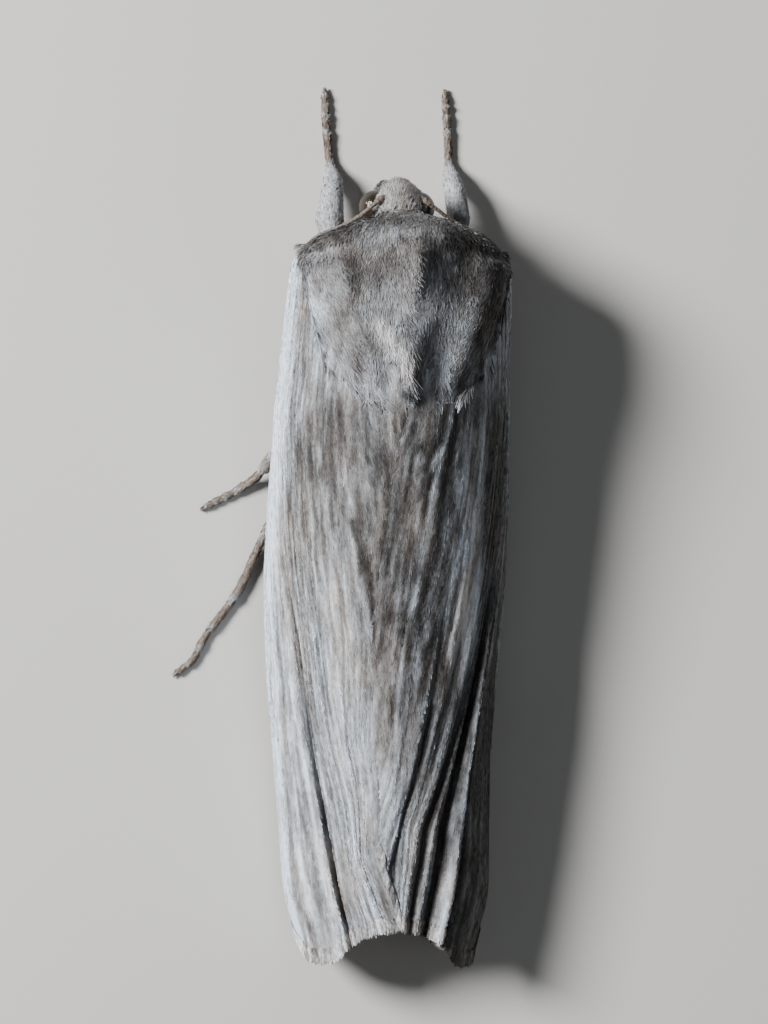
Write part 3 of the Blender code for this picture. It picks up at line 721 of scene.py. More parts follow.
def through(points, per_span):
    """Points of a smooth curve (Catmull-Rom) through the given ones."""
    points = np.asarray(points, float)
    ends = np.concatenate([[2 * points[0] - points[1]], points, [2 * points[-1] - points[-2]]])
    t = np.linspace(0, 1, per_span, endpoint=False)[:, None]
    curve = []
    for a, b, c, d in zip(ends, ends[1:], ends[2:], ends[3:]):
        bend = (2 * a - 5 * b + 4 * c - d) * t**2 + (3 * b - a - 3 * c + d) * t**3
        curve.append(0.5 * (2 * b + (c - a) * t + bend))
    return np.concatenate(curve + [points[-1:]])


def distance_along(line):
    return np.concatenate([[0.0], np.cumsum(np.linalg.norm(np.diff(line, axis=0), axis=1))])


def tube_grid(line, radii, sides):
    """Rings round a line, each closed by a repeat of its first point."""
    ahead = unit(np.gradient(line, axis=0))
    right = unit(np.cross(ahead[0], [0.0, 0.0, 1.0]))
    turn = np.linspace(0, 2 * math.pi, sides + 1)[:, None]
    rings = []
    for place, way, radius in zip(line, ahead, radii):
        right = unit(right - way * (right @ way))
        rings.append(place + radius * (right * np.cos(turn) + np.cross(right, way) * np.sin(turn)))
    return np.array(rings)


def rounded(radii):
    """The same radii, drawn in at both ends."""
    radii, caps = radii.copy(), 3
    for i in range(caps):
        drawn = math.sqrt((i + 0.05) / caps)
        radii[i] *= drawn
        radii[-1 - i] *= drawn
    return radii


# Each leg's joints, from hip to foot, as in the solids: x, s, z and radius there.
LEGS = {
    "leg_front_left": [
        (0.95, 4.3, 1.85, 0.62), (1.9, 3.0, 1.3, 0.5), (2.33, 1.8, 1.3, 0.58),
        (2.26, 0.7, 1.0, 0.45), (2.2, 0.0, 0.74, 0.37), (2.23, -0.6, 0.46, 0.27),
        (2.34, -1.4, 0.26, 0.25), (2.43, -2.3, 0.2, 0.25), (2.5, -3.3, 0.19, 0.22),
    ],
    "leg_front_right": [
        (-0.95, 4.3, 1.85, 0.62), (-1.75, 2.9, 1.3, 0.5), (-2.32, 1.6, 1.3, 0.46),
        (-2.3, 0.5, 1.0, 0.42), (-2.2, -0.2, 0.7, 0.36), (-2.15, -0.8, 0.42, 0.27),
        (-2.1, -1.6, 0.26, 0.25), (-2.02, -2.5, 0.2, 0.25), (-1.94, -3.4, 0.19, 0.22),
    ],
    "leg_middle_left": [
        (0.95, 5.4, 1.75, 0.5), (2.3, 7.2, 1.05, 0.42), (3.4, 9.0, 0.9, 0.36),
        (4.45, 10.6, 0.72, 0.34), (5.15, 11.25, 0.42, 0.28), (5.85, 11.65, 0.22, 0.25),
        (6.5, 12.02, 0.2, 0.22),
    ],
    "leg_middle_right": [
        (-0.95, 5.4, 1.75, 0.5), (-2.2, 7.3, 1.05, 0.42), (-3.1, 9.2, 0.9, 0.36),
        (-3.75, 10.8, 0.68, 0.34), (-3.95, 11.8, 0.38, 0.28), (-3.95, 12.6, 0.22, 0.25),
        (-3.85, 13.4, 0.2, 0.22),
    ],
    "leg_hind_left": [
        (0.85, 6.95, 1.75, 0.48), (1.85, 8.9, 0.95, 0.42), (3.1, 11.0, 0.75, 0.34),
        (4.25, 12.9, 0.62, 0.32), (5.15, 15.0, 0.42, 0.29), (6.25, 16.6, 0.24, 0.26),
        (6.72, 17.5, 0.2, 0.24), (7.35, 18.05, 0.2, 0.21),
    ],
    "leg_hind_right": [
        (-0.85, 6.95, 1.75, 0.48), (-1.75, 9.2, 0.95, 0.42), (-2.35, 11.7, 0.75, 0.34),
        (-2.8, 14.0, 0.55, 0.32), (-3.2, 15.9, 0.32, 0.28), (-3.5, 17.2, 0.22, 0.25),
        (-3.85, 18.5, 0.2, 0.22),
    ],
}
# Of each pair: the joint where its tarsus begins, where its spurs stand and its dark bands run, and how
# slender it is for the solid's radii.
SOLID_RADII = (0.2, 0.25, 0.3, 0.36, 0.45, 0.62)
LEG_PAIRS = {
    "front": (5, (), (), (0.09, 0.13, 0.2, 0.32, 0.4, 0.54)),
    "middle": (3, (3,), (1.35, 2.75), (0.09, 0.115, 0.15, 0.23, 0.36, 0.54)),
    "hind": (3, (3, 2.4), (1.35, 2.75), (0.09, 0.115, 0.15, 0.23, 0.36, 0.54)),
}
LEG_STEPS = 14  # rings from one joint to the next
TARSUS_PARTS = np.array([0.0, 0.44, 0.64, 0.78, 0.9, 1.0])


def leg_grid(name, joints):
    """A leg's surface, the tone of each ring, and its line."""
    tarsus_from, _, bands, slim = LEG_PAIRS[name.split("_")[1]]
    line = through(joints, LEG_STEPS)
    first = tarsus_from * LEG_STEPS
    solid = line[:, 3].copy()
    bare = np.interp(solid, SOLID_RADII, slim)
    gone = distance_along(line[:, :3])
    share = (gone - gone[first]) / (gone[-1] - gone[first])
    part = np.clip(np.searchsorted(TARSUS_PARTS, share, side="right") - 1, 0, 4)
    within = (share - TARSUS_PARTS[part]) / np.diff(TARSUS_PARTS)[part]
    on_tarsus = share >= 0
    bare = np.where(on_tarsus, np.minimum(bare, 0.14) * (0.88 + 0.22 * within**2), bare)
    # The tibia is waisted where it meets the femur.
    bare *= 1 - 0.2 * hump(gone[2 * LEG_STEPS], 0.16, gone) * ~on_tarsus
    standing = smooth(0.55, 0.05, line[:, 2] - solid)
    line[:, 2] = line[:, 2] * (1 - standing) + (bare + 0.015) * standing
    line = line[:, :3]
    grid = tube_grid(line, rounded(bare), 14)
    grid[..., 2] = np.maximum(grid[..., 2], 0.0)
    ring = hump(0.93, 0.12, within) + 0.6 * hump(0, 0.08, within)
    tone = 0.67 - 0.3 * smooth(-0.12, 0.05, share) + 0.2 * ring * on_tarsus
    for joint in bands:
        band = np.interp(joint * LEG_STEPS, np.arange(len(gone)), gone)
        tone -= 0.24 * hump(band, 0.22, gone) * ~on_tarsus
    return grid, tone, line


def spur(root, way, length):
    """A small pointed tube, like those on the tibiae."""
    line = root + np.linspace(0, 1, 7)[:, None] * way * length
    return tube_grid(line, np.linspace(0.06, 0.012, 7), 7)


# ---- the skin, in one piece over head, body, palps and legs, and what grows on it ----

FLESH = ("head", "collar", "thorax", "thorax_crest", "tegula_left", "tegula_right", "abdomen")
PALPS = ("palp_left", "palp_right")
# How each part of the skin is covered: tufts on a square millimetre, their length, width, lift, how much
# they wander, and how much paler their tips are.
COATS = {
    "head": (1700, 0.25, 0.036, 0.38, 0.35, 0.1),
    "palps": (1900, 0.17, 0.036, 0.3, 0.25, 0.1),
    "collar": (1190, 0.34, 0.036, 0.22, 0.3, 0.1),
    "thorax": (1000, 0.42, 0.036, 0.2, 0.3, 0.1),
    "crest": (1400, 0.4, 0.038, 0.2, 0.18, 0.1),
    "tegulae": (1300, 0.42, 0.036, 0.1, 0.2, 0.1),
    "abdomen": (120, 0.42, 0.08, 0.25, 0.2, 0.1),
    "under": (300, 0.5, 0.06, 0.3, 0.3, 0.1),
    "legs": (820, 0.15, 0.048, 0.14, 0.25, 0.08),
}
REGIONS = list(COATS) + ["covered"]  # nothing grows under the wings and on the eyes
MOST_TUFTS = 49500


def rows_of(items, key, size, kind=np.float32):
    """A value of each of a mesh's items, in rows of this size."""
    found = np.empty(len(items) * size, kind)
    items.foreach_get(key, found)
    return found.reshape(-1, size)


def points_of(mesh):
    return rows_of(mesh.vertices, "co", 3).astype(float)


def quads_of(mesh):
    return rows_of(mesh.loops, "vertex_index", 1, np.int32).reshape(-1, 4)


def solid_mesh(names, points, faces):
    """The named solids and the given faces as one mesh, in millimetres in the moth's frame."""
    bm = bmesh.new()
    for name in names:
        bm.from_mesh(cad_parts[name].data)
    bmesh.ops.translate(bm, vec=Vector(-ORIGIN), verts=bm.verts)
    bmesh.ops.scale(bm, vec=(1 / MM, 1 / MM, 1 / MM), verts=bm.verts)
    bmesh.ops.remove_doubles(bm, verts=bm.verts, dist=0.001)
    corners = [bm.verts.new(point) for point in points]
    for face in faces:
        bm.faces.new([corners[i] for i in face])
    mesh = bpy.data.meshes.new("working")
    bm.to_mesh(mesh)
    bm.free()
    return mesh


def worked(mesh, *steps):
    """The mesh after modifiers, each given as its type and its settings."""
    obj = placed("working", mesh)
    for kind, settings in steps:
        modifier = obj.modifiers.new(kind, kind)
        for setting, value in settings.items():
            setattr(modifier, setting, value)
    bpy.context.view_layer.update()
    made = bpy.data.meshes.new_from_object(obj.evaluated_get(bpy.context.evaluated_depsgraph_get()))
    bpy.data.objects.remove(obj)
    return made


def grow_out(depth):
    """Moves the surface out along its normals."""
    return "DISPLACE", {"strength": depth, "mid_level": 0.0}


def remesh(voxel):
    return "REMESH", {"mode": "VOXEL", "voxel_size": voxel, "adaptivity": 0.0}


def soften(times):
    return "SMOOTH", {"factor": 0.5, "iterations": times}


def flap_edges(s):
    """How far s is along a shoulder flap, as a share, and the v of its inner and outer edge."""
    t = (s - FLAP_FROM) / FLAP_LENGTH
    low = 0.44 - 0.25 * smooth(0.0, 1.0, t)
    high = 0.87 - 0.48 * np.clip(t, 0, 1) ** 0.8 - 0.14 * smooth(0.75, 1.0, t)
    return t, low, high


def shield():
    """The wings' roots and the flesh between them, as one thick shell that the shoulder flaps lie on."""
    s, reach = np.meshgrid(np.linspace(2.95, 8.1, 60), np.linspace(-1, 1, 61), indexing="ij")
    v = reach * np.minimum(flap_edges(s)[2] + 0.1, 0.92)
    return shell(envelope(s, v, -0.06), envelope(s, v, -0.75), False)


def over_wings(points):
    """The v of each point, and how high it is over the wings' outer surface there."""
    x, s, z = points.T
    v = np.arcsin(np.clip(np.abs(x) / half_width(s), 0, 1) ** (ROOF_SIDE / 2)) * 2 / math.pi
    v = np.copysign(v, x)
    return v, z - envelope(s, v)[:, 2]


def evened(s, v, height, mine):
    """A smooth surface through the heights of the points that count, read at each point."""
    first, steps, cells = np.array([2.0, -1.0]), np.array([0.1, 0.02]), np.array([65, 100])
    sides = [first[axis] + steps[axis] * np.arange(cells[axis] + 1) for axis in (0, 1)]
    sums = [np.histogram2d(s[mine], v[mine], sides, weights=weight)[0] for weight in (height[mine], None)]
    spread = np.exp(-np.linspace(-2, 2, 17) ** 2)
    for axis in (0, 1):
        sums = [np.apply_along_axis(np.convolve, axis, found, spread, "same") for found in sums]
    r, c = (
        np.clip((value - first[axis]) / steps[axis] - 0.5, 0, cells[axis] - 1)
        for axis, value in enumerate((s, v))
    )
    return at(sums[0] / np.maximum(sums[1], 1e-6), r, c)


def eye_distance(points):
    """How far each point is from the middle of the nearer eye, and the way there."""
    right, left = (points - middle for middle in EYE_MIDDLES)
    way = np.where((points[:, 0] > HEAD_ASIDE)[:, None], left, right)
    return np.linalg.norm(way, axis=1), unit(way)


def body_skin():
    """The flesh's solids, grown until their gaps close, made one, and drawn in by the fur's depth."""
    close, voxel = 0.3, 0.1
    mesh = worked(
        solid_mesh(FLESH, *shield()), grow_out(close), remesh(voxel), soften(8),
        grow_out(-close - FUR_DEPTH), remesh(voxel), soften(5),
    )
    points = points_of(mesh)
    # The grooves between the back's parts are mostly filled.
    x, s, _ = points.T
    v, above = over_wings(points)
    onto = (above > -0.35) & (s > 2.0) & (s < 8.5) & (np.abs(v) < 0.98)
    gap = evened(s, v, above, onto) - above
    aside = smooth(0.45, 0.9, np.abs(x)) * smooth(0.92, 0.8, np.abs(v)) * onto
    points[:, 2] += np.where(gap > 0, 0.85, 0.4) * gap * aside * smooth(2.6, 3.3, s) * smooth(8.2, 7.4, s)
    # The crest's ridge swerves to the left.
    above = over_wings(points)[1]
    swerve = hump(0, 0.8, x) * smooth(3.8, 5.0, s) * smooth(8.0, 6.8, s) * smooth(0.0, 0.25, above)
    points[:, 0] += 0.3 * swerve
    # Crest and flaps sink into the wings at their ends and outer edges.
    v, above = over_wings(points)
    ends = np.where(np.abs(x) < 0.7, smooth(6.7, 7.8, s), smooth(5.6, 7.3, s))
    ends = ends * (s < 8.2) * (np.abs(v) < 0.7)
    outer = flap_edges(s)[2]
    edges = smooth(outer - 0.16, outer + 0.02, np.abs(v)) * smooth(3.1, 3.5, s) * onto
    points[:, 2] -= np.maximum(above + 0.12, 0.0) * np.maximum(0.6 * ends, edges)
    # It closes round the eyes.
    for middle in EYE_MIDDLES:
        off = points - middle
        far = np.linalg.norm(off, axis=1)
        drawn = smooth(EYE_RADIUS + 0.4, EYE_RADIUS + 0.05, far) * (far > EYE_RADIUS - 0.05)
        points += off / far[:, None] * ((EYE_RADIUS - 0.05 - far) * drawn)[:, None]
    # The head's front is a small dome.
    front = smooth(0.75, -0.15, s) * smooth(2.0, 2.8, points[:, 2])
    points[:, 0] -= 0.3 * front * (x - HEAD_ASIDE)
    points[:, 1] += 0.1 * front * ((x - HEAD_ASIDE) / 0.5) ** 2
    return points, quads_of(mesh)


def palp_skin():
    """The palps stand out from the face and apart from each other."""
    mesh = worked(solid_mesh(PALPS, (), ()), grow_out(-0.08), remesh(0.045), soften(3))
    return points_of(mesh) + [0.0, 0.36, 0.0], quads_of(mesh)


UPPER = ("upper", 0, 1)
# Patches of the body's coat: dark before the left flap and paler on the left. Painted light makes it paler
# beside the crest and where the right flap ends, where the crest's shade falls, and in the shaded groove
# between the left flap and the crest. Painted shade darkens the right flank and the collar's right side. It
# is pale where the left flap ends. The hood has a dark hem with a pale line behind it.
BODY = (
    (-0.28, ("near", "x", 1.4, 1.0), ("near", "s", 2.8, 1.0)),
    # Painted shade down the right flank.
    (-0.22, ("x", -1.8, -2.6)),
    (0.14, ("x", 1.6, 2.6), ("s", 3.2, 4.8)),
    (0.14, ("x", 2.8, 3.4), ("s", 2.8, 3.4), ("s", 5.0, 4.2)),
    # Painted light beside the crest, against its shade.
    (0.28, ("near", "x", -0.9, 0.7), ("s", 2.4, 3.4), ("s", 8.0, 6.8), UPPER),
    (0.12, ("s", 6.0, 7.4), ("x", 1.1999, 1.2001), UPPER),
    # Painted light where the right flap ends, in the crest's shade.
    (0.22, ("s", 5.4, 6.2), ("x", -0.7, -1.1), ("x", -2.8, -2.4), UPPER),
    # Painted light in the shaded groove between the left flap and the crest.
    (0.26, ("near", "x", 1.4, 0.4), ("near", "s", 6.3, 0.4)),
    (-0.18, ("near", "x", 2.8, 0.5), ("near", "s", 6.3, 0.6)),
    (-0.24, ("x", -2.5, -2.9), ("s", 5.8, 6.3), UPPER),
    (-0.2, ("s", 6.5, 6.9), ("x", -1.7, -2.1), UPPER),
    (-0.05, ("s", 6.7, 7.1), ("x", 1.2001, 1.1999), ("x", -1.2001, -1.1999), UPPER),
    (0.06, ("tegulae", 0, 1), ("edge", 0.12, 0), ("s", 3.4, 4.4)),
    # Painted shade on the collar's right side.
    (-0.36, ("x", -0.7, -1.3), ("s", 2.6, 2.1), ("collar", 0, 1)),
    (-0.2, ("near", "hem", 0.15, 0.28), ("collar", 0, 1), ("z", 3.5999, 3.6001)),
    (0.12, ("near", "hem", 0.75, 0.16), ("collar", 0, 1), ("z", 3.5999, 3.6001)),
    (0.04, ("collar", 0, 1)),
    (0.08, ("head", 0, 1)),
)


def body_parts(points):
    """The region of each point of the body's skin, the way its hair lies there, and its (tone, warmth)."""
    x, s, z = points.T
    side = np.sign(x)
    v, above = over_wings(points)
    v = np.abs(v)
    t, low, high = flap_edges(s)
    off = x - HEAD_ASIDE
    by_eye, from_eye = eye_distance(points)
    upper = z > eaves(s) + 0.2
    tegulae = (t > -0.02) & (t < 1.02) & (v > low - 0.01) & (v < high + 0.03) & (z > 3.5)
    head = (s < 1.2 + 0.085 * x * x) & (np.abs(off) < 1.3) & (z > 2.2)
    collar = ~head & (s < 2.9)
    # Later regions lie over earlier ones.
    region = np.full(len(points), REGIONS.index("thorax"))
    for name, found in (
        ("under", ~upper),
        ("covered", upper & (s > wing_root(v) + 0.15) & (above < -0.06)),
        ("abdomen", (s > 7.65) & (above < -0.3)),
        ("crest", (s > 4.9) & (s < 7.7) & (np.abs(x) < 0.8 - 0.2 * (s - 4.9)) & (z > 6.1)),
        ("tegulae", tegulae),
        ("collar", collar),
        ("head", head),
        ("covered", by_eye < EYE_RADIUS - 0.02),
    ):
        region[found] = REGIONS.index(name)
    abdomen = region == REGIONS.index("abdomen")

    # The hair lies back and down from the ridge, along the flaps, out over the face and away from the eyes.
    back = np.array([0.0, 1.0, 0.0])
    pull = hump(0, 0.9, x) * upper * smooth(6.4, 5.0, s)
    flow = joined(
        -0.45 * np.clip(x / 0.4, -1, 1) * pull * (s > 1.2), 1.0, np.where(upper, 0.12, -0.25) + 0.2 * pull
    )
    middle = side * (low + high) / 2
    down_flap = unit(envelope(s + 0.1, middle - side * 0.03) - envelope(s, middle))
    flow = np.where(tegulae[:, None], down_flap + (0.7 + smooth(0.5, 1.0, t))[:, None] * back, flow)
    flow += joined(0.12 * x, 0.0, 0.3) * collar[:, None]
    flow = np.where(head[:, None], joined(0.55 * off, -1.0, 0.25 * (z - 3.4) - 0.35), flow)
    flow = flow + 1.4 * smooth(EYE_RADIUS + 0.3, EYE_RADIUS, by_eye)[:, None] * from_eye

    tone = 0.42 + uneven(x, s, (0.2, 1.3, 0.9, 2), (0.28, 3.6, 1.1, 6))
    tone = tone + uneven(x, s, (0.2, 7.5, 2.0, 5), (0.2, 11.0, 4.5, 9)) * (s > 1.2)
    # A pale tuft slants over the back to the end of the crest.
    aside = x - 1.35 + 1.3 * np.clip((s - 4.9) / 2.1, 0, 1)
    tuft = hump(0, 0.36, aside) * smooth(4.6, 5.1, s) * smooth(7.7, 6.8, s) * upper
    # Painted shade: the thorax is a little darker in the groove along each flap's inner edge.
    between = (region == REGIONS.index("thorax")) * smooth(low - 0.14, low - 0.02, v) * (s > 3.2)
    tone = tone + 0.36 * tuft - 0.04 * between + patched(
        BODY, x=x, s=s, z=z, upper=upper, tegulae=tegulae, collar=collar, head=head, edge=high - v,
        hem=s - 1.15 - 1.2 * (x / 3.6) ** 2,
    )
    tone = np.where(abdomen, 0.52 + 0.06 * np.sin(s * 3.6), tone)
    warmth = uneven(x, s, (0.3, 4.1, 1.7, 7)) + 0.4 * noise(x * 1.1 + 9, s * 0.8, 4) - 0.04
    warmth = np.where(abdomen | ~upper, 0.65, warmth + 0.45 * tuft + 0.3 * head)
    return region, unit(flow), np.clip(tone, 0.02, 1), np.clip(warmth, 0, 1)


def unwrap(obj):
    """Unwraps a piece onto the bake's map and gives each loop's spot."""
    bpy.context.view_layer.objects.active = obj
    obj.select_set(True)
    obj.data.uv_layers.new(name="OFBake")
    bpy.ops.object.mode_set(mode="EDIT")
    bpy.ops.mesh.select_all(action="SELECT")
    bpy.ops.uv.smart_project(angle_limit=math.radians(66), island_margin=0.001)
    bpy.ops.object.mode_set(mode="OBJECT")
    obj.select_set(False)
    return rows_of(obj.data.uv_layers["OFBake"].data, "uv", 2).reshape(-1, 4, 2)


def palp_part():
    """The palps' share of the skin: points, faces, place, flow, tone, warmth and region."""
    points, faces = palp_skin()
    tone = 0.54 + uneven(points[:, 0], points[:, 2], (0.3, 6, 5, 3))
    ahead = np.tile([0.0, -0.5, 0.85], (len(points), 1))
    return points, faces, points, ahead, tone, 0.4 + 0 * tone, np.full(len(points), REGIONS.index("palps"))


def leg_parts():
    """The legs' shares of the skin, each as palp_part gives it, and where and which way the feet end."""
    parts, tips = [], []
    for name, joints in LEGS.items():
        grid, tone, line = leg_grid(name, joints)
        tips.append((line[-1], unit(line[-1] - line[-4])))
        grids = [(grid, tone)]
        for joint in LEG_PAIRS[name.split("_")[1]][1]:
            i = int(joint * LEG_STEPS) - 2
            way = unit(line[i + 3] - line[i])
            aside = unit(np.cross(way, [0.0, 0.0, 1.0]))
            for hand in (-1, 1):
                spurs = spur(line[i], unit(way + hand * 0.25 * aside + np.array([0, 0, -0.05])), 0.5)
                grids.append((spurs, np.full(len(spurs), 0.5)))
        for grid, tone in grids:
            rows, columns = grid.shape[:2]
            middle = grid.mean(axis=1)
            place = joined(np.linspace(0, 1.5, columns), distance_along(middle)[:, None], 0.0)
            parts.append((
                grid.reshape(-1, 3), grid_faces(rows, columns, 0, True), place.reshape(-1, 3),
                np.repeat(unit(np.gradient(middle, axis=0)), columns, axis=0), np.repeat(tone, columns),
                np.repeat(0.3 + 0.8 * smooth(0.6, 0.36, tone), columns),
                np.full(rows * columns, REGIONS.index("legs")),
            ))
    return parts, tips


def flesh(skin_looks, fur_looks):
    """The skin and its coat."""
    points, faces = body_skin()
    region, flow, tone, warmth = body_parts(points)
    limbs, tips = leg_parts()
    parts = [(points, faces, points, flow, tone, warmth, region), palp_part(), *limbs]
    starts = np.cumsum([0] + [len(part[0]) for part in parts[:-1]])
    faces = np.concatenate([part[1] + start for part, start in zip(parts, starts)])
    points, place, flow, tone, warmth, region = (
        np.concatenate([part[i] for part in parts]) for i in (0, 2, 3, 4, 5, 6)
    )
    marks = joined(tone - 0.12, warmth, 0.5)
    replaced = (*FLESH, *PALPS, *LEGS)
    skin = new_piece("skin", points, faces, skin_looks, place, marks, replaced=replaced)
    spots = unwrap(skin)
    normals = rows_of(skin.data.vertex_normals, "vector", 3).astype(float)

    a, b, c, d = points[faces].transpose(1, 0, 2)
    area = np.linalg.norm(np.cross(c - a, d - b), axis=-1) / 2
    for index, (name, (density, length, width, lift, wander, tip_tone)) in enumerate(COATS.items()):
        mine = np.flatnonzero(region[faces[:, 0]] == index)
        count = min(MOST_TUFTS, int(area[mine].sum() * density))
        face = RANDOM.choice(mine, count, p=area[mine] / area[mine].sum())
        u, w = RANDOM.random((2, count, 1))

        def within(table):
            """Values at the roots, from those at the corners of their faces."""
            near = table[:, 0] * (1 - u) + table[:, 1] * u
            return near * (1 - w) + (table[:, 3] * (1 - u) + table[:, 2] * u) * w

        roots, normal = within(points[faces[face]]), unit(within(normals[faces[face]]))
        lie = within(flow[faces[face]])
        lie = unit(lie - normal * (lie * normal).sum(axis=-1, keepdims=True) * 0.9)
        mark = within(marks[faces[face]])
        mark[:, 0] += 0.12
        mark[:, 2] = RANDOM.random(count)
        # The hair at the back of the thorax is long, ragged and flat, and lies over the roots of the wings.
        s = roots[:, 1]
        outer = flap_edges(s)[2]
        at_edge = 0.8 * smooth(outer - 0.1, outer, np.abs(over_wings(roots)[0])) * (s > 3.6)
        at_back = np.maximum(smooth(5.4, 6.8, s), at_edge) * (name in ("thorax", "crest", "tegulae"))
        ragged = (0.3 if name == "crest" else 0.1) + 1.2 * noise(roots[:, 0] * 2.7, 0 * s, 41)
        # By the eyes and where the back drops to the wings the hair is short.
        short = 0.4 + 0.6 * smooth(EYE_RADIUS, EYE_RADIUS + 0.4, eye_distance(roots)[0])
        short = short * (1 - 0.45 * smooth(0.45, 0.8, normal[:, 1]) * smooth(5.6, 6.2, s))
        size = (length * (1 + at_back * ragged) * short, width, lift * (1 - 0.7 * at_back))
        slot, shape = ("leg_scales", SCALE) if name == "legs" else ("body_fur", HAIR)
        blades(
            f"{name}_fur", slot, fur_looks, shape, roots, lie, normal, size, within(place[faces[face]]),
            mark, within(spots[face]), wander=wander, roll=0.4, tip_tone=tip_tone, even=0.72,
        )
    return tips


def claws(tips, looks):
    """Two small hooks at the end of each foot."""
    points, faces = [], []
    t = np.linspace(0, 1, 8)[:, None]
    for tip, way in tips:
        aside = unit(np.cross(way, [0.0, 0.0, 1.0]))
        for hand in (-1, 1):
            line = tip + way * (0.15 * t - 0.05) + aside * hand * 0.06 * t
            line[:, 2] = np.maximum(line[:, 2] + 0.03 - 0.1 * t[:, 0] ** 2, 0.03)
            grid = tube_grid(line, np.linspace(0.028, 0.008, 8), 7)
            faces.append(grid_faces(8, 8, 64 * len(points), True))
            points.append(grid.reshape(-1, 3))
    points = np.concatenate(points)
    marks = np.tile([0.2, 0.8, 0.5], (len(points), 1))
    new_piece("claws", points, np.concatenate(faces), looks, points, marks)


# ---- head: eyes and feelers ----


FACETS = 16  # on a millimetre


def eye_looks():
    """A dark glossy eye with fine facets."""
    made, tree, shader = material("eye_facets")
    place = new_node(tree, "TexCoord").outputs["Object"]
    spacing = {"Scale": FACETS / MM, "Randomness": 0.35, "Vector": place}
    facets = new_node(tree, "TexVoronoi", spacing, feature="F1")
    relief = {"Strength": 0.5, "Distance": 0.02 * MM, "Height": facets.outputs["Distance"]}
    mottle = maths(tree, "ADD", pattern(tree, place, (1.0, 1.0, 1.0), 2500.0), 0.5)
    stops = ((0.0, (0.006, 0.005, 0.004)), (1.0, (0.04, 0.028, 0.018)))
    fill(shader, {
        "Normal": new_node(tree, "Bump", relief, invert=True).outputs["Normal"],
        "Base Color": ramp(tree, mottle, stops), "Roughness": 0.14,
    })
    return made


def eye(word, side, looks):
    """A ball just inside the solid one."""
    rows, columns = 40, 57
    down, turn = np.meshgrid(
        np.linspace(0.02, math.pi - 0.02, rows), np.linspace(0, 2 * math.pi, columns), indexing="ij"
    )
    ball = joined(np.sin(down) * np.cos(turn), np.sin(down) * np.sin(turn), np.cos(down)).reshape(-1, 3)
    points = EYE_MIDDLES[side > 0] + (EYE_RADIUS - 0.005) * ball
    marks = np.tile([0.1, 0.5, 0.5], (len(points), 1))
    faces = grid_faces(rows, columns, 0, True)
    new_piece(f"eye_{word}_facets", points, faces, looks, points, marks, replaced=(f"eye_{word}",))


# The left feeler's line, in a frame that has the head in its middle.
FEELER = (
    (0.35, 0.8, 4.1), (0.72, 0.78, 4.45), (1.14, 1.06, 4.42), (1.7, 1.46, 4.15), (2.4, 1.84, 3.7),
    (3.08, 2.16, 3.12), (3.54, 2.78, 2.42), (3.6, 3.7, 1.98), (3.5, 4.9, 1.76), (3.42, 6.4, 1.62),
    (3.35, 8.2, 1.7),
)
FEELER_RING = 0.15
FEELER_SCALES = 4000


def feeler(word, side, looks):
    """A thread-like feeler of many short rings, paler on top, on a thicker first joint, with scales all
    round.
    """
    line = through(FEELER, 36) * np.array([side, 1.0, 1.0])
    line[:, 0] += HEAD_ASIDE * (1 - smooth(0.6, 2.0, line[:, 1]))
    gone = distance_along(line)
    ringed = np.cos(2 * math.pi * gone / FEELER_RING)
    radii = np.interp(gone, [0, 0.7, 0.85, 1.25, gone[-1]], [0.12, 0.12, 0.085, 0.07, 0.05])
    grid = tube_grid(line, rounded(radii * (1 + 0.09 * ringed)), 12)
    round_it = np.linspace(0, 1, 13)
    place = joined(round_it, gone[:, None], 0.0)
    up = -unit(np.cross(np.gradient(grid, axis=0), np.gradient(grid, axis=1)))[..., 2]
    marks = joined(0.3 + 0.14 * smooth(-0.1, 0.6, up) + 0.08 * ringed[:, None], 0.9, 0.5)
    spots = joined(gone[:, None] / gone[-1], 0.1 + 0.2 * round_it)
    new_piece(
        f"feeler_{word}", grid, grid_faces(*grid.shape[:2], 0, True), looks, place, marks, spots,
        replaced=(f"antenna_{word}",),
    )
    r, c = scatter(grid, FEELER_SCALES)
    grown(
        f"feeler_{word}_scales", "feeler", looks, SCALE, (grid, place, spots, -1), r, c,
        chanced(marks, r, c), (0.08, 0.035, 0.2),
    )


# ---- stage, light and camera ----


def stage():
    """A matt, warm white floor."""
    made, tree, shader = material("floor_paint")
    place = new_node(tree, "TexCoord").outputs["Object"]
    grain = pattern(tree, place, (1.0, 1.0, 1.0), 90.0, 3.0)
    tone = maths(tree, "ADD", maths(tree, "MULTIPLY", grain, 0.1), 0.5)
    stops = ((0.0, (0.60, 0.585, 0.55)), (1.0, (0.70, 0.685, 0.65)))
    fill(shader, {"Base Color": ramp(tree, tone, stops), "Roughness": 0.8})
    mesh = bpy.data.meshes.new("floor")
    wide = 0.6
    corners = [(-wide, -wide, 0), (wide, -wide, 0), (wide, wide, 0), (-wide, wide, 0)]
    mesh.from_pydata(corners, [], [(0, 1, 2, 3)])
    mesh.materials.append(made)
    placed("floor", mesh)


def area_light(name, place, size, power, colour):
    """A round lamp at a place in metres from the moth's middle, turned to it."""
    data = bpy.data.lights.new(name, "AREA")
    data.shape = "DISK"
    data.size = size
    data.energy = power
    data.color = colour
    lamp = placed(name, data)
    lamp.location = Vector(((CAD_BOUNDS[0] + CAD_BOUNDS[1]) / 2)) + Vector(place)
    lamp.rotation_mode = "QUATERNION"
    lamp.rotation_quaternion = (-Vector(place)).to_track_quat("-Z", "Y")


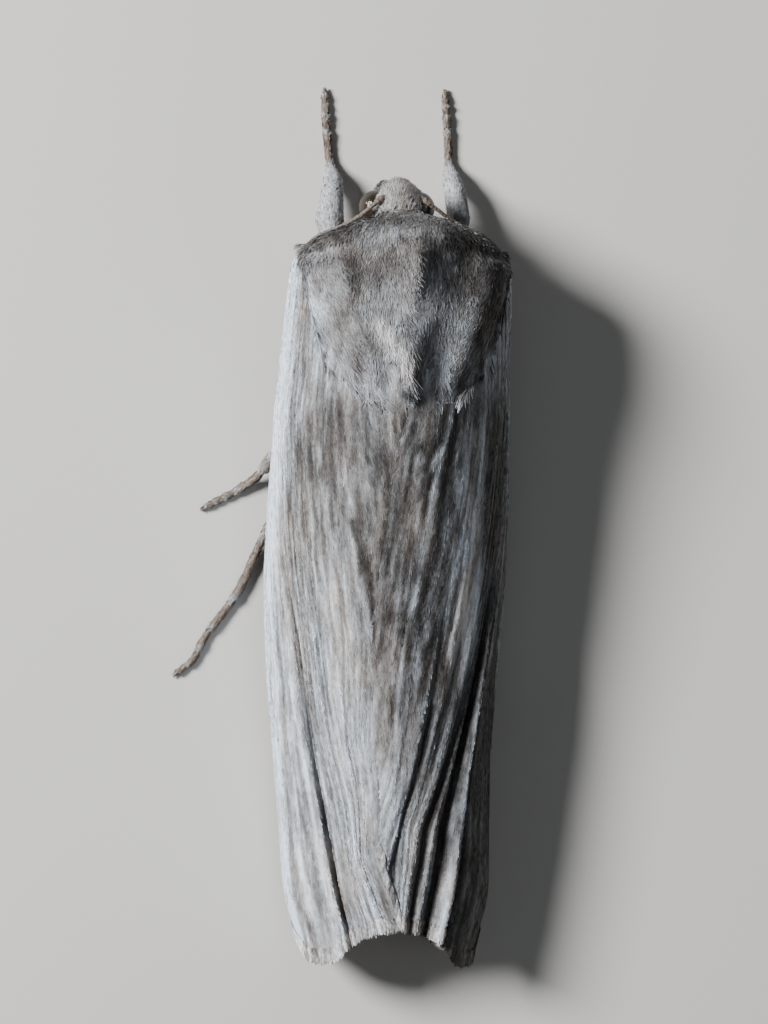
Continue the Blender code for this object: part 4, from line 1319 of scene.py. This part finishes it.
def lights():
    """A key lamp on the moth's left, a faint fill on its right, and a dim sky."""
    area_light("key", (0.168, -0.058, 0.12), 0.07, 1.2, (0.985, 0.99, 1.0))
    area_light("fill", (-0.12, 0.08, 0.16), 0.14, 0.025, (0.93, 0.96, 1.0))
    world = bpy.data.worlds.new("studio")
    world.use_nodes = True
    sky = world.node_tree.nodes["Background"]
    sky.inputs["Color"].default_value = (0.9, 0.94, 1.0, 1)
    sky.inputs["Strength"].default_value = 0.085
    bpy.context.scene.world = world


ROLL = math.radians(9.5)  # how far the camera leans to the moth's left
SPIN = math.radians(-1.7)
PICTURE_HEIGHT = 36.76 * MM
# How far the wing tips lie from the middle of the picture, as shares of its height.
TIPS_LEFT = 0.01755
TIPS_BELOW = 0.4434


def camera():
    """Looks down on the moth's back, a little from its left, with the head at the top of the picture."""
    down = Vector((-math.sin(ROLL), 0, -math.cos(ROLL)))
    up = Vector((0, -1, 0))
    right = down.cross(up)
    up, right = up * math.cos(SPIN) + right * math.sin(SPIN), right * math.cos(SPIN) - up * math.sin(SPIN)
    data = bpy.data.cameras.new("camera")
    data.lens = 200
    data.clip_start, data.clip_end = 0.01, 10
    cam = placed("camera", data)
    tips = Vector((ORIGIN[0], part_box("forewing_left")[1].y, 0))
    centre = tips + right * (TIPS_LEFT * PICTURE_HEIGHT) + up * (TIPS_BELOW * PICTURE_HEIGHT)
    distance = PICTURE_HEIGHT / data.sensor_width * data.lens + 3 * MM
    turned = Matrix((right, up, -down)).transposed().to_4x4()
    cam.matrix_world = Matrix.Translation(centre - down * distance) @ turned
    bpy.context.scene.camera = cam


def main():
    camera()
    lights()
    stage()
    membrane_looks = coat_looks("wing_membrane", chance=0.0, bump=0.03)
    scale_looks = coat_looks("wing_scales", chance=0.42, speckle=0.42)
    eyeball = eye_looks()
    for word, side in (("left", 1), ("right", -1)):
        forewing(word, side, membrane_looks, scale_looks)
        hindwing(word, side, membrane_looks)
        eye(word, side, eyeball)
        feeler(word, side, scale_looks)
    skin_looks = coat_looks("skin", chance=0.0, bump=0.04, roughness=0.75)
    fur_looks = coat_looks("fur", roughness=0.6, sheen=0.3, chance=0.26, speckle=0.25)
    tips = flesh(skin_looks, fur_looks)
    claws(tips, coat_looks("claw_horn", roughness=0.3, sheen=0.0, speckle=0.05, streak=0.05))


main()
